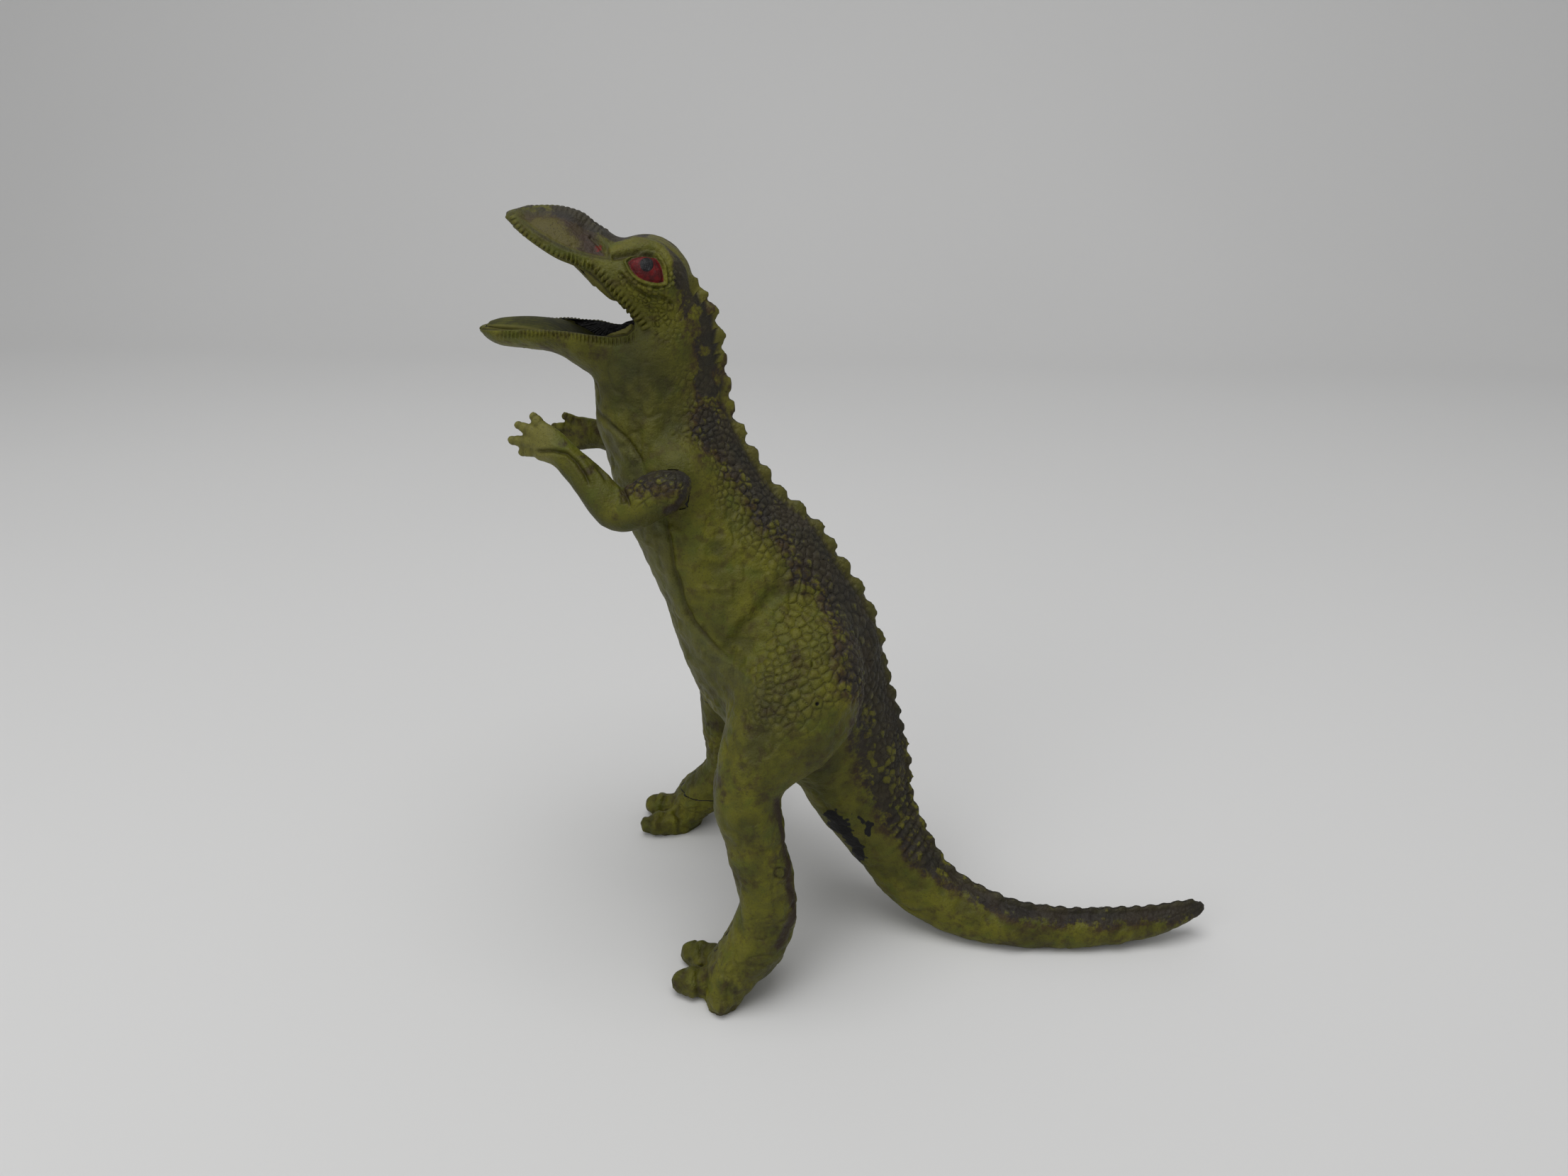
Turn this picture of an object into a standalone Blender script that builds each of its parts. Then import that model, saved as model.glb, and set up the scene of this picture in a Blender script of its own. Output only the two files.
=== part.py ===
"""Hollow toy dinosaur of the duck-billed kind, standing on two feet and its tail with its mouth open.

Metres, +Z up. The snout points to -X, the animal's left side faces -Y, and the origin is on the floor
in the middle of the figure. Two half shells, two inner leg covers, a mouth liner and two arms that turn
in the shoulders.
"""

import math

import bmesh
import bpy
import numpy as np
from mathutils import Matrix, Vector

MM = 0.001

# Driving sizes of the whole figure
LENGTH = 215.5 * MM  # chin tip to tail tip
HEIGHT = 217 * MM  # floor to the top of the bill
STANCE = 45 * MM  # from the midplane to the middle of a foot
STRIDE = 26 * MM  # how far the right foot stands ahead of the left
TAIL_SWAY = 14 * MM  # how far the tail swings to the animal's left

# Shell
WALL = 2.2 * MM
SEAM_GAP = 0.3 * MM  # between bonded pieces
FLOOR_PRESS = 0.5 * MM  # how much of each sole and of the tail is cut flat
TRUNK_DEPTH = 59 * MM  # chest to back at the belly
TRUNK_WIDTH = 59 * MM

# Head
SKULL_DEPTH = 21 * MM
SKULL_WIDTH = 29 * MM
BILL_DEPTH = 11.5 * MM  # ridge to rim of the upper bill
BILL_WIDTH = 28.5 * MM
JAW_DEPTH = 16 * MM
JAW_WIDTH = 26 * MM
LINER_WALL = 1.4 * MM
LINER_INSET = 1.6 * MM  # from the edge of the jaws to the edge of the liner

# Legs
SHIN_DEPTH = 18 * MM
SHIN_WIDTH = 19 * MM
FOOT_DEPTH = 9 * MM  # toe thickness
TOE_WIDTH = 8.6 * MM
TOE_REACH = 21 * MM  # from the ball of the foot to the end of the middle toe
COVER_shares = (0.0645, 0.249)  # of HEIGHT, from where to where the inner leg covers reach

# Arms
SHOULDER_SPAN_share = 0.729  # of TRUNK_WIDTH, between the two flat shoulder seats
SHOULDER_SPAN = SHOULDER_SPAN_share * TRUNK_WIDTH
SEAT_RADIUS = 7 * MM
ARM_THICKNESS = 11.8 * MM
ARM_REACH = 42 * MM  # from the shoulder axis to the longest fingertip
STUD_RADIUS = 2.8 * MM
FLANGE_RADIUS = 4.3 * MM
FLANGE_THICKNESS = 1.6 * MM
TURN_CLEARANCE = 0.3 * MM
SEAT_WALL = 3 * MM  # what the stud passes through
POCKET_REACH = 14 * MM  # from the seat inward, the room for the flange
RIGHT_ARM_DROP = math.radians(15)  # the right arm is turned down this much further

# Crest
CREST_COUNT = 17
CREST_LENGTH = 6.9 * MM
CREST_RISE = 3.1 * MM
CREST_THICKNESS = 3 * MM
TAIL_RIDGE_COUNT = 15
TAIL_RIDGE_RISE = 1.3 * MM

# Mesh making
SKIN_VOXEL = 1.1 * MM
ARM_VOXEL = 0.6 * MM
CORE_VOXEL = 1.8 * MM
RING_POINTS = 28
STEPS = 5  # rings between two stations
BEND_RUNS = 12
SKIN_FACES = 5600
CORE_FACES = 900
ARM_FACES = 950
LINER_STEPS = 2  # rings between two stations of the liner
LINER_ACROSS_COUNT = 6
SPARE = 60 * MM  # how far a cutter runs past what it cuts

# Stations down the neck and trunk. Place along LENGTH from its middle, place up HEIGHT, and full
# depth and width as shares of TRUNK_DEPTH and TRUNK_WIDTH.
TRUNK_shares = (
    (-0.2692, 0.895, 0.20, 0.24),
    (-0.2535, 0.863, 0.40, 0.40),
    (-0.2665, 0.817, 0.585, 0.45),
    (-0.2715, 0.760, 0.60, 0.49),
    (-0.2548, 0.700, 0.635, 0.62),
    (-0.2326, 0.645, 0.675, 0.74),
    (-0.2015, 0.589, 0.725, 0.82),
    (-0.1660, 0.537, 0.840, 0.89),
    (-0.1420, 0.488, 0.905, 0.95),
    (-0.1170, 0.438, 0.95, 0.99),
    (-0.0905, 0.390, 0.905, 0.98),
    (-0.0675, 0.346, 0.80, 0.88),
    (-0.0418, 0.301, 0.70, 0.74),
    (-0.0181, 0.255, 0.60, 0.59),
    (-0.0033, 0.211, 0.545, 0.52),
    (0.018, 0.165, 0.46, 0.46),
    (0.0506, 0.116, 0.405, 0.41),
)
# Stations along the tail. Place along LENGTH, height of its underside as a share of HEIGHT, and its
# thickness as a share of TRUNK_DEPTH.
TAIL_shares = (
    (0.0807, 0.022, 0.385),
    (0.1212, 0.002, 0.348),
    (0.1726, -0.004, 0.288),
    (0.2418, -0.002, 0.225),
    (0.3071, -0.002, 0.204),
    (0.3723, 0.003, 0.187),
    (0.4316, 0.014, 0.150),
    (0.4771, 0.030, 0.104),
    (0.4998, 0.043, 0.056),
)
# Skull stations from front to back: place, height, depth above and below it and full width.
SKULL_shares = (
    (-0.37, 0.940, 0.10, 0.10, 0.50),
    (-0.3522, 0.938, 0.22, 0.20, 0.80),
    (-0.3235, 0.931, 0.33, 0.42, 0.95),
    (-0.2929, 0.920, 0.50, 0.55, 1.00),
    (-0.2652, 0.911, 0.47, 0.55, 0.93),
    (-0.2435, 0.899, 0.32, 0.42, 0.72),
    (-0.2296, 0.890, 0.08, 0.15, 0.30),
)
# Bill stations from its tip back to the cheek: place, height of the rim, depth above and below it as
# shares of BILL_DEPTH, and full width.
BILL_shares = (
    (-0.4545, 0.9905, 0.04, 0.03, 0.12),
    (-0.4471, 0.988, 0.16, 0.08, 0.44),
    (-0.4313, 0.980, 0.42, 0.10, 0.71),
    (-0.4076, 0.966, 0.72, 0.12, 0.92),
    (-0.3799, 0.950, 0.88, 0.12, 1.00),
    (-0.3522, 0.940, 0.72, 0.14, 0.98),
    (-0.3285, 0.926, 0.76, 0.22, 0.94),
    (-0.3057, 0.911, 0.92, 0.30, 0.91),
    (-0.287, 0.898, 1.10, 0.34, 0.88),
    (-0.2593, 0.888, 1.00, 0.50, 0.70),
)
# Lower jaw stations from the chin tip back: place, height of the rim, depth above and below it as
# shares of JAW_DEPTH, and full width.
JAW_shares = (
    (-0.5005, 0.851, 0.03, 0.05, 0.12),
    (-0.4916, 0.853, 0.04, 0.20, 0.38),
    (-0.4708, 0.8545, 0.04, 0.34, 0.66),
    (-0.4352, 0.856, 0.04, 0.40, 0.86),
    (-0.3987, 0.856, 0.02, 0.47, 0.95),
    (-0.3611, 0.855, 0.01, 0.75, 1.00),
    (-0.3245, 0.852, 0.03, 0.98, 1.00),
    (-0.2929, 0.855, 0.06, 1.00, 0.96),
    (-0.2593, 0.858, 0.12, 0.94, 0.78),
)
# The liner's line in side view, from under the bill tip back along the palate, down into the throat
# pocket and out along the tongue plate to the chin: place, height, arch as a share of JAW_DEPTH (up is
# positive) and full width as a share of JAW_WIDTH.
LINER_shares = (
    (-0.4412, 0.9790, 0.06, 0.42),
    (-0.4263, 0.9715, 0.10, 0.66),
    (-0.4056, 0.9590, 0.14, 0.84),
    (-0.3799, 0.9445, 0.16, 0.93),
    (-0.3522, 0.9330, 0.16, 0.93),
    (-0.3285, 0.9140, 0.14, 0.90),
    (-0.3087, 0.8985, 0.10, 0.86),
    (-0.2929, 0.8780, 0.02, 0.80),
    (-0.2889, 0.8560, -0.04, 0.76),
    (-0.3008, 0.8360, -0.10, 0.74),
    (-0.3245, 0.8260, -0.12, 0.74),
    (-0.3522, 0.8310, -0.10, 0.76),
    (-0.3779, 0.8430, -0.04, 0.80),
    (-0.4016, 0.8520, 0.03, 0.80),
    (-0.4352, 0.8560, 0.07, 0.72),
    (-0.4688, 0.8555, 0.07, 0.52),
    (-0.4866, 0.8535, 0.04, 0.28),
)
# The liner's stations that the open pocket behind the tongue plate lies between.
POCKET_ROWS = (5, 14)
# Leg stations from the hip to the ball of the foot: place, height, distance from the midplane as a
# share of STANCE, full depth and width as shares of the shin's, and the share of STRIDE taken.
LEG_shares = (
    (-0.0735, 0.500, 0.32, 1.25, 0.85, 0.06),
    (-0.0755, 0.438, 0.51, 2.05, 1.40, 0.16),
    (-0.0932, 0.388, 0.67, 2.02, 1.50, 0.26),
    (-0.1288, 0.340, 0.800, 1.38, 1.36, 0.42),
    (-0.1437, 0.300, 0.872, 1.10, 1.21, 0.56),
    (-0.1348, 0.255, 0.910, 1.04, 1.10, 0.70),
    (-0.1239, 0.198, 0.936, 0.94, 1.00, 0.82),
    (-0.115, 0.152, 0.956, 0.93, 0.95, 0.87),
    (-0.1199, 0.110, 0.974, 0.98, 0.95, 0.80),
    (-0.1350, 0.074, 0.992, 0.98, 1.06, 0.87),
    (-0.1636, 0.038, 1.000, 0.80, 1.20, 0.97),
    (-0.1762, -0.005, 0.996, 0.52, 1.12, 1.00),
)
LEG_CORE_ROWS = 9  # the stations that the hollow of the leg follows
# Toes: start and end place beyond the ball as shares of TOE_REACH, start and end offset outward as
# shares of TOE_WIDTH, and width.
TOE_shares = (
    (0.10, 1.00, 0.00, 0.25, 1.00),
    (0.00, 0.42, 0.55, 1.12, 0.98),
    (0.00, 0.98, -0.75, -1.45, 0.98),
)
# The shape of a toe from the ball to its tip: place and size.
TOE_PROFILE_shares = ((0, 0.86), (0.35, 0.98), (0.7, 0.96), (0.9, 0.74), (0.98, 0.42), (1, 0.1))
TOE_LIFT_share = 0.42  # of FOOT_DEPTH, the height of the tip's middle
TOE_FLAT_share = 0.8  # of the toe, the part that lies on the floor
FOOT_PLACE_share = -0.1476  # of LENGTH, the ball of the left foot
FOOT_SIDE_share = 1.006  # of STANCE

# The shoulder axis, as shares of LENGTH and HEIGHT, and the arm's stations from it: reach along the
# length, up, outward and thickness, the first three as shares of ARM_REACH and the last of
# ARM_THICKNESS, in depth and width.
SHOULDER_PLACE_share = -0.2385
SHOULDER_HEIGHT_share = 0.682
ARM_shares = (
    (0.120, -0.010, 0.000, 0.50, 0.62),
    (0.045, 0.000, 0.000, 0.92, 0.92),
    (-0.090, -0.035, 0.005, 1.04, 1.00),
    (-0.235, -0.120, 0.005, 0.98, 0.98),
    (-0.345, -0.140, 0.000, 0.96, 0.94),
    (-0.435, -0.055, -0.010, 0.90, 0.86),
    (-0.530, 0.050, -0.035, 0.78, 0.76),
    (-0.665, 0.175, -0.075, 0.69, 0.62),
    (-0.760, 0.235, -0.110, 0.82, 0.53),
    (-0.840, 0.260, -0.130, 0.86, 0.45),
    (-0.895, 0.265, -0.140, 0.42, 0.26),
)
ARM_FLAT_share = 0.5  # of ARM_REACH, over which the arm is flat against its seat
# Fingers: where each starts and ends, in the same shares, and its thickness.
FINGER_shares = (
    ((-0.775, 0.300, -0.125), (-0.900, 0.430, -0.165), 0.27),
    ((-0.820, 0.290, -0.130), (-1.010, 0.365, -0.165), 0.27),
    ((-0.830, 0.250, -0.130), (-1.060, 0.255, -0.165), 0.27),
    ((-0.780, 0.195, -0.130), (-1.000, 0.175, -0.170), 0.27),
)
FINGER_PROFILE_shares = ((-0.15, 0.7), (0.1, 1.0), (0.6, 1.05), (0.88, 0.85), (1.0, 0.3))
# The swelling under each shoulder seat, as shares of SEAT_RADIUS: how deep its middle lies and its
# radius along the body and out from it.
BOSS_shares = (0.8, 1.35, 1.15)
# Crest plates: the size of the first and how much the middle ones are larger, and half their length.
CREST_SWELL_shares = (0.82, 0.3)
CREST_HALF_share = 0.56
TAIL_RETURN_share = 0.55  # of TAIL_SWAY that the tail's tip swings back
SWAY_shares = (-0.003, 0.242)  # where along LENGTH the tail's swing starts and is full
COVER_DEPTH_share = 0.8  # of SHIN_WIDTH, how far in the leg covers are cut
# How much the upper side of each loft narrows, and how hollow the flanks of the bill are.
TRUNK_KEEL_share = 0.22
SKULL_KEEL_share = 0.12
JAW_KEEL_share = -0.05
BILL_HOLLOW_share = 1.35


def clear_scene():
    for thing in list(bpy.data.objects):
        bpy.data.objects.remove(thing, do_unlink=True)


def collection(name):
    made = bpy.data.collections.new(name)
    bpy.context.scene.collection.children.link(made)
    return made


def material(name, colour, roughness):
    made = bpy.data.materials.new(name)
    made.use_nodes = True
    shader = made.node_tree.nodes["Principled BSDF"]
    shader.inputs["Base Color"].default_value = (*colour, 1)
    shader.inputs["Roughness"].default_value = roughness
    shader.inputs["Metallic"].default_value = 0
    return made


def smooth_rows(rows, steps):
    """A Catmull-Rom curve through rows of numbers, with the given number of steps between rows."""
    rows = np.array(rows, float)
    ends = np.vstack((2 * rows[0] - rows[1], rows, 2 * rows[-1] - rows[-2]))
    found = []
    for before, start, end, after in zip(ends, ends[1:], ends[2:], ends[3:]):
        for step in range(steps):
            t = step / steps
            found.append(
                0.5
                * (
                    2 * start
                    + (end - before) * t
                    + (2 * before - 5 * start + 4 * end - after) * t**2
                    + (3 * start - before - 3 * end + after) * t**3
                )
            )
    found.append(rows[-1])
    return np.array(found)


def frames(centres):
    """The direction along the line, across it towards +Y and up from it, at each point."""
    along = np.gradient(centres, axis=0)
    along /= np.linalg.norm(along, axis=1)[:, None]
    across = np.array([0.0, 1.0, 0.0]) - along[:, 1:2] * along
    across /= np.linalg.norm(across, axis=1)[:, None]
    return along, across, np.cross(along, across)


def signed_power(value, power):
    return np.sign(value) * np.abs(value) ** power


def loft(mesh, rows, keel=0.0, roof=1.0):
    """Adds a closed loft to a bmesh. A row is x, y, z, half depth above, half depth below, half width.

    keel narrows the side that faces up, and a roof over 1 makes its flanks hollow.
    """
    rows = smooth_rows(rows, STEPS)
    centres = rows[:, :3]
    _, across, up = frames(centres)
    turn = np.arange(RING_POINTS) * 2 * math.pi / RING_POINTS
    rise, side = np.sin(turn), np.cos(turn)
    above = rise > 0
    lift = np.where(above, np.abs(rise) ** roof, rise)
    spread = np.where(above, signed_power(side, roof), side) * (1 - keel * rise)
    rings = []
    for row, centre, sideways, upward in zip(rows, centres, across, up):
        depth = np.where(above, max(row[3], 0), max(row[4], 0))
        ring = centre + np.outer(lift * depth, upward) + np.outer(spread * max(row[5], 0), sideways)
        rings.append([mesh.verts.new(point) for point in ring])
    for ring, following in zip(rings, rings[1:]):
        for place in range(RING_POINTS):
            after = (place + 1) % RING_POINTS
            mesh.faces.new((ring[place], ring[after], following[after], following[place]))
    for ring, centre in ((rings[0], centres[0]), (rings[-1], centres[-1])):
        pole = mesh.verts.new(centre)
        for place in range(RING_POINTS):
            mesh.faces.new((ring[place], ring[(place + 1) % RING_POINTS], pole))


def ball(mesh, centre, radii, turn=0.0):
    """Adds an ellipsoid, turned about Y."""
    place = Matrix.Translation(centre) @ Matrix.Rotation(turn, 4, "Y") @ Matrix.Diagonal((*radii, 1))
    bmesh.ops.create_uvsphere(mesh, u_segments=16, v_segments=10, radius=1, matrix=place)


def object_from(mesh, name, group):
    bmesh.ops.recalc_face_normals(mesh, faces=mesh.faces)
    data = bpy.data.meshes.new(name)
    mesh.to_mesh(data)
    mesh.free()
    made = bpy.data.objects.new(name, data)
    group.objects.link(made)
    return made


def settle(thing):
    """Applies the modifiers by taking the evaluated mesh."""
    graph = bpy.context.evaluated_depsgraph_get()
    graph.update()
    done = bpy.data.meshes.new_from_object(thing.evaluated_get(graph))
    thing.modifiers.clear()
    old, thing.data = thing.data, done
    bpy.data.meshes.remove(old)
    return thing


def fuse(thing, voxel, rounds, faces):
    """Makes one closed skin of overlapping lofts, eased a little and thinned to a number of triangles."""
    remesh = thing.modifiers.new("fuse", "REMESH")
    remesh.mode = "VOXEL"
    remesh.voxel_size = voxel
    ease = thing.modifiers.new("ease", "SMOOTH")
    ease.factor = 0.5
    ease.iterations = rounds
    settle(thing)
    thin = thing.modifiers.new("thin", "DECIMATE")
    thin.ratio = min(1.0, faces / (2 * len(thing.data.polygons)))
    thin.use_collapse_triangulate = True
    return settle(thing)


def boolean(thing, cutter, operation, solver="EXACT"):
    change = thing.modifiers.new(operation.lower(), "BOOLEAN")
    change.operation = operation
    change.solver = solver
    change.object = cutter
    return settle(thing)


def block(name, low, high, group, lean=0.0):
    """A box between two corners, whose sides lean by so much along Y for each unit up."""
    mesh = bmesh.new()
    bmesh.ops.create_cube(mesh, size=1)
    low, high = Vector(low), Vector(high)
    for vertex in mesh.verts:
        share = vertex.co + Vector((0.5, 0.5, 0.5))
        place = Vector(a + (b - a) * s for a, b, s in zip(low, high, share))
        place.y += lean * place.z
        vertex.co = place
    return object_from(mesh, name, group)


def cylinder(mesh, centre, radius, inner, outer, side, segments=36):
    """Adds a cylinder along Y, between two distances from the midplane, on one side of it."""
    middle = side * (inner + outer) / 2
    place = Matrix.Translation((centre[0], middle, centre[1])) @ Matrix.Rotation(math.pi / 2, 4, "X")
    bmesh.ops.create_cone(
        mesh,
        cap_ends=True,
        segments=segments,
        radius1=radius,
        radius2=radius,
        depth=abs(outer - inner),
        matrix=place,
    )


def as_cutter(thing):
    thing.hide_render = True
    thing.display_type = "WIRE"
    return thing


def copy_of(thing, name, group):
    made = thing.copy()
    made.data = thing.data.copy()
    made.name = name
    group.objects.link(made)
    return made


def spine_rows(shrink=0.0):
    rows = []
    for along, up, depth, width in TRUNK_shares:
        half_depth = depth * TRUNK_DEPTH / 2 - shrink
        half_width = width * TRUNK_WIDTH / 2 - shrink
        rows.append((along * LENGTH, 0, up * HEIGHT, half_depth, half_depth, half_width))
    for along, under, thick in TAIL_shares:
        half = thick * TRUNK_DEPTH / 2
        height = max(under * HEIGHT, -FLOOR_PRESS) + half
        half = max(half - shrink, 0)
        rows.append((along * LENGTH, 0, height, half, half, half))
    return rows


def skull_rows(shrink=0.0):
    return [
        (
            along * LENGTH,
            0,
            up * HEIGHT,
            above * SKULL_DEPTH - shrink,
            below * SKULL_DEPTH - shrink,
            width * SKULL_WIDTH / 2 - shrink,
        )
        for along, up, above, below, width in SKULL_shares
    ]


def jaw_rows(shares, depth, width):
    return [
        (along * LENGTH, 0, up * HEIGHT, above * depth, below * depth, across * width / 2)
        for along, up, above, below, across in shares
    ]


def leg_rows(side, shrink=0.0):
    step = STRIDE if side > 0 else 0
    rows = []
    for along, up, out, depth, width, share in LEG_shares:
        half_depth = depth * SHIN_DEPTH / 2 - shrink
        half_width = width * SHIN_WIDTH / 2 - shrink
        place = (along * LENGTH - share * step, side * out * STANCE, up * HEIGHT)
        rows.append((*place, half_depth, half_depth, half_width))
    return rows


def toe_rows(side):
    """The three toes of one foot, each a list of stations that ends in a round tip."""
    ball_x = FOOT_PLACE_share * LENGTH - (STRIDE if side > 0 else 0)
    ball_y = side * FOOT_SIDE_share * STANCE
    toes = []
    for start, end, out, out_end, width in TOE_shares:
        rows = []
        for share, size in TOE_PROFILE_shares:
            half = size * width * TOE_WIDTH / 2
            thick = size * FOOT_DEPTH / 2
            reach = (start + (end - start) * share) * TOE_REACH
            off = (out + (out_end - out) * share) * TOE_WIDTH
            low = thick - FLOOR_PRESS if share < TOE_FLAT_share else FOOT_DEPTH * TOE_LIFT_share
            rows.append((ball_x - reach, ball_y + side * off, low, thick, thick, half))
        toes.append(rows[::-1])
    return toes


def back_line():
    """Points along the ridge of the back, with the way up from it, from the neck to the tail tip."""
    rows = smooth_rows(spine_rows(), STEPS)
    _, _, up = frames(rows[:, :3])
    return rows[:, :3] + up * rows[:, 3:4], up


def crest(mesh):
    """Rounded plates down the neck and back, then low ridges along the tail."""
    line, up = back_line()
    gone = np.concatenate(([0], np.cumsum(np.linalg.norm(np.diff(line, axis=0), axis=1))))
    first, swell = CREST_SWELL_shares
    start = CREST_LENGTH / 2
    for place in range(CREST_COUNT + TAIL_RIDGE_COUNT):
        share = min(place / CREST_COUNT, 1)
        length = CREST_LENGTH * (first + swell * math.sin(math.pi * share))
        rise = CREST_RISE if place < CREST_COUNT else TAIL_RIDGE_RISE
        at = np.array([np.interp(start + length / 2, gone, line[:, axis]) for axis in range(3)])
        way = np.array([np.interp(start + length / 2, gone, up[:, axis]) for axis in range(3)])
        tilt = math.atan2(way[0], way[2])
        ball(mesh, at, (length * CREST_HALF_share, CREST_THICKNESS / 2, rise), tilt)
        start += length


def skin(group):
    mesh = bmesh.new()
    loft(mesh, spine_rows(), keel=TRUNK_KEEL_share)
    loft(mesh, skull_rows(), keel=SKULL_KEEL_share)
    loft(mesh, jaw_rows(BILL_shares, BILL_DEPTH, BILL_WIDTH), roof=BILL_HOLLOW_share)
    loft(mesh, jaw_rows(JAW_shares, JAW_DEPTH, JAW_WIDTH), keel=JAW_KEEL_share)
    deep, along, outward = BOSS_shares
    for side in (-1, 1):
        loft(mesh, leg_rows(side))
        for rows in toe_rows(side):
            loft(mesh, rows)
        boss = (shoulder()[0], side * (SHOULDER_SPAN / 2 - SEAT_RADIUS * deep), shoulder()[1])
        ball(mesh, boss, (SEAT_RADIUS * along, SEAT_RADIUS * outward, SEAT_RADIUS * along))
    crest(mesh)
    return fuse(object_from(mesh, "skin", group), SKIN_VOXEL, 3, SKIN_FACES)


def core(group):
    """The hollow, a wall's thickness inside the skin."""
    mesh = bmesh.new()
    spine = [row for row in spine_rows(WALL) if row[3] > WALL and row[5] > WALL]
    loft(mesh, spine[1:], keel=TRUNK_KEEL_share)
    loft(mesh, skull_rows(WALL)[2:-1], keel=SKULL_KEEL_share)
    for side in (-1, 1):
        loft(mesh, leg_rows(side, WALL)[:LEG_CORE_ROWS])
    return fuse(object_from(mesh, "hollow", group), CORE_VOXEL, 3, CORE_FACES)


def shoulder():
    return SHOULDER_PLACE_share * LENGTH, SHOULDER_HEIGHT_share * HEIGHT


def shoulder_cuts(side, group):
    """The flat seat outside, the hole for the stud and the pocket for its flange."""
    seat = SHOULDER_SPAN / 2
    mesh = bmesh.new()
    cylinder(mesh, shoulder(), SEAT_RADIUS + TURN_CLEARANCE, seat, seat + SPARE, side)
    outer = as_cutter(object_from(mesh, f"seat_cut_{side}", group))
    mesh = bmesh.new()
    cylinder(mesh, shoulder(), STUD_RADIUS + TURN_CLEARANCE, seat - POCKET_REACH, seat + SPARE, side)
    hole = as_cutter(object_from(mesh, f"stud_cut_{side}", group))
    mesh = bmesh.new()
    room = FLANGE_RADIUS + 2 * TURN_CLEARANCE
    cylinder(mesh, shoulder(), room, seat - POCKET_REACH, seat - SEAT_WALL, side)
    pocket = as_cutter(object_from(mesh, f"flange_cut_{side}", group))
    return outer, hole, pocket


def liner_rings(grow):
    """Rings of points across the mouth liner, from under the bill tip round to the chin."""
    rows = smooth_rows(
        [
            (along * LENGTH, 0, up * HEIGHT, arch * JAW_DEPTH, width * JAW_WIDTH / 2 - LINER_INSET / 2)
            for along, up, arch, width in LINER_shares
        ],
        LINER_STEPS,
    )
    for end, beside in ((0, 1), (-1, -2)):
        way = rows[end, :3] - rows[beside, :3]
        rows[end, :3] += grow * way / np.linalg.norm(way)
    shares = np.linspace(-1, 1, LINER_ACROSS_COUNT + 1)
    return [
        [(x, share * (half + grow), z + arch * (1 - share**2)) for share in shares]
        for x, _, z, arch, half in rows
    ]


def rings_to_faces(mesh, rings):
    """Adds a sheet of quads through rings of points, and returns its vertices."""
    rings = [[mesh.verts.new(point) for point in ring] for ring in rings]
    for ring, following in zip(rings, rings[1:]):
        for place in range(len(ring) - 1):
            mesh.faces.new((ring[place], ring[place + 1], following[place + 1], following[place]))
    return rings


def liner_sheet(grow, group, name):
    """The mouth liner as an open sheet made solid. grow widens and thickens it into a cutter."""
    mesh = bmesh.new()
    rings_to_faces(mesh, liner_rings(grow))
    sheet = object_from(mesh, name, group)
    solid = sheet.modifiers.new("wall", "SOLIDIFY")
    solid.thickness = LINER_WALL + 2 * grow
    solid.offset = 0
    solid.use_even_offset = True
    return settle(sheet)


def pocket_cut(group):
    """The open pocket behind the tongue plate, down to the liner's own line."""
    first, last = (row * LINER_STEPS for row in POCKET_ROWS)
    mesh = bmesh.new()
    rings = rings_to_faces(mesh, liner_rings(SEAM_GAP)[first : last + 1])
    for place in range(LINER_ACROSS_COUNT):
        front, back = rings[0], rings[-1]
        mesh.faces.new((front[place], front[place + 1], back[place + 1], back[place]))
    for end in (0, -1):
        edge = [ring[end] for ring in rings]
        middle = mesh.verts.new(sum((vertex.co for vertex in edge), Vector()) / len(edge))
        for start, following in zip(edge, edge[1:] + edge[:1]):
            mesh.faces.new((start, following, middle))
    return object_from(mesh, "pocket_cut", group)


def cover_block(side, gap, group, name):
    """The inner half of a shin, as a leaning box. gap draws it in from the parting faces."""
    step = STRIDE if side > 0 else 0
    rows = [(up * HEIGHT, out * STANCE) for _, up, out, _, _, _ in LEG_shares]
    heights, outs = zip(*sorted(rows))
    bottom, top = (share * HEIGHT for share in COVER_shares)
    low_out, high_out = (np.interp(z, heights, outs) for z in (bottom, top))
    lean = side * (high_out - low_out) / (top - bottom)
    foot = side * low_out - lean * bottom
    near, far = foot - side * gap, foot - side * SHIN_WIDTH * COVER_DEPTH_share
    back = LEG_shares[5][0] * LENGTH + SHIN_DEPTH
    low = (back - 3 * SHIN_DEPTH - step, min(near, far), bottom + gap)
    high = (back, max(near, far), top - gap)
    return as_cutter(block(name, low, high, group, lean))


def sway(x):
    """How far the tail swings to the left at a place along the length."""
    start, full = (share * LENGTH for share in SWAY_shares)
    share = min(max((x - start) / (full - start), 0), 1)
    back = min(max((x - full) / (LENGTH / 2 - full), 0), 1)
    return -TAIL_SWAY * (share**2 * (3 - 2 * share)) * (1 - TAIL_RETURN_share * back**2)


def bend(thing):
    """Swings the tail, in straight runs between cuts across it, so that the two halves still meet."""
    places = np.linspace(SWAY_shares[0] * LENGTH, LENGTH / 2, BEND_RUNS + 1)
    moves = [sway(place) for place in places]
    mesh = bmesh.new()
    mesh.from_mesh(thing.data)
    for place in places[:-1]:
        parts = mesh.verts[:] + mesh.edges[:] + mesh.faces[:]
        bmesh.ops.bisect_plane(mesh, geom=parts, plane_co=(place, 0, 0), plane_no=(1, 0, 0))
    bmesh.ops.triangulate(mesh, faces=mesh.faces)
    for vertex in mesh.verts:
        vertex.co.y += np.interp(vertex.co.x, places, moves)
    mesh.to_mesh(thing.data)
    mesh.free()


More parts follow.
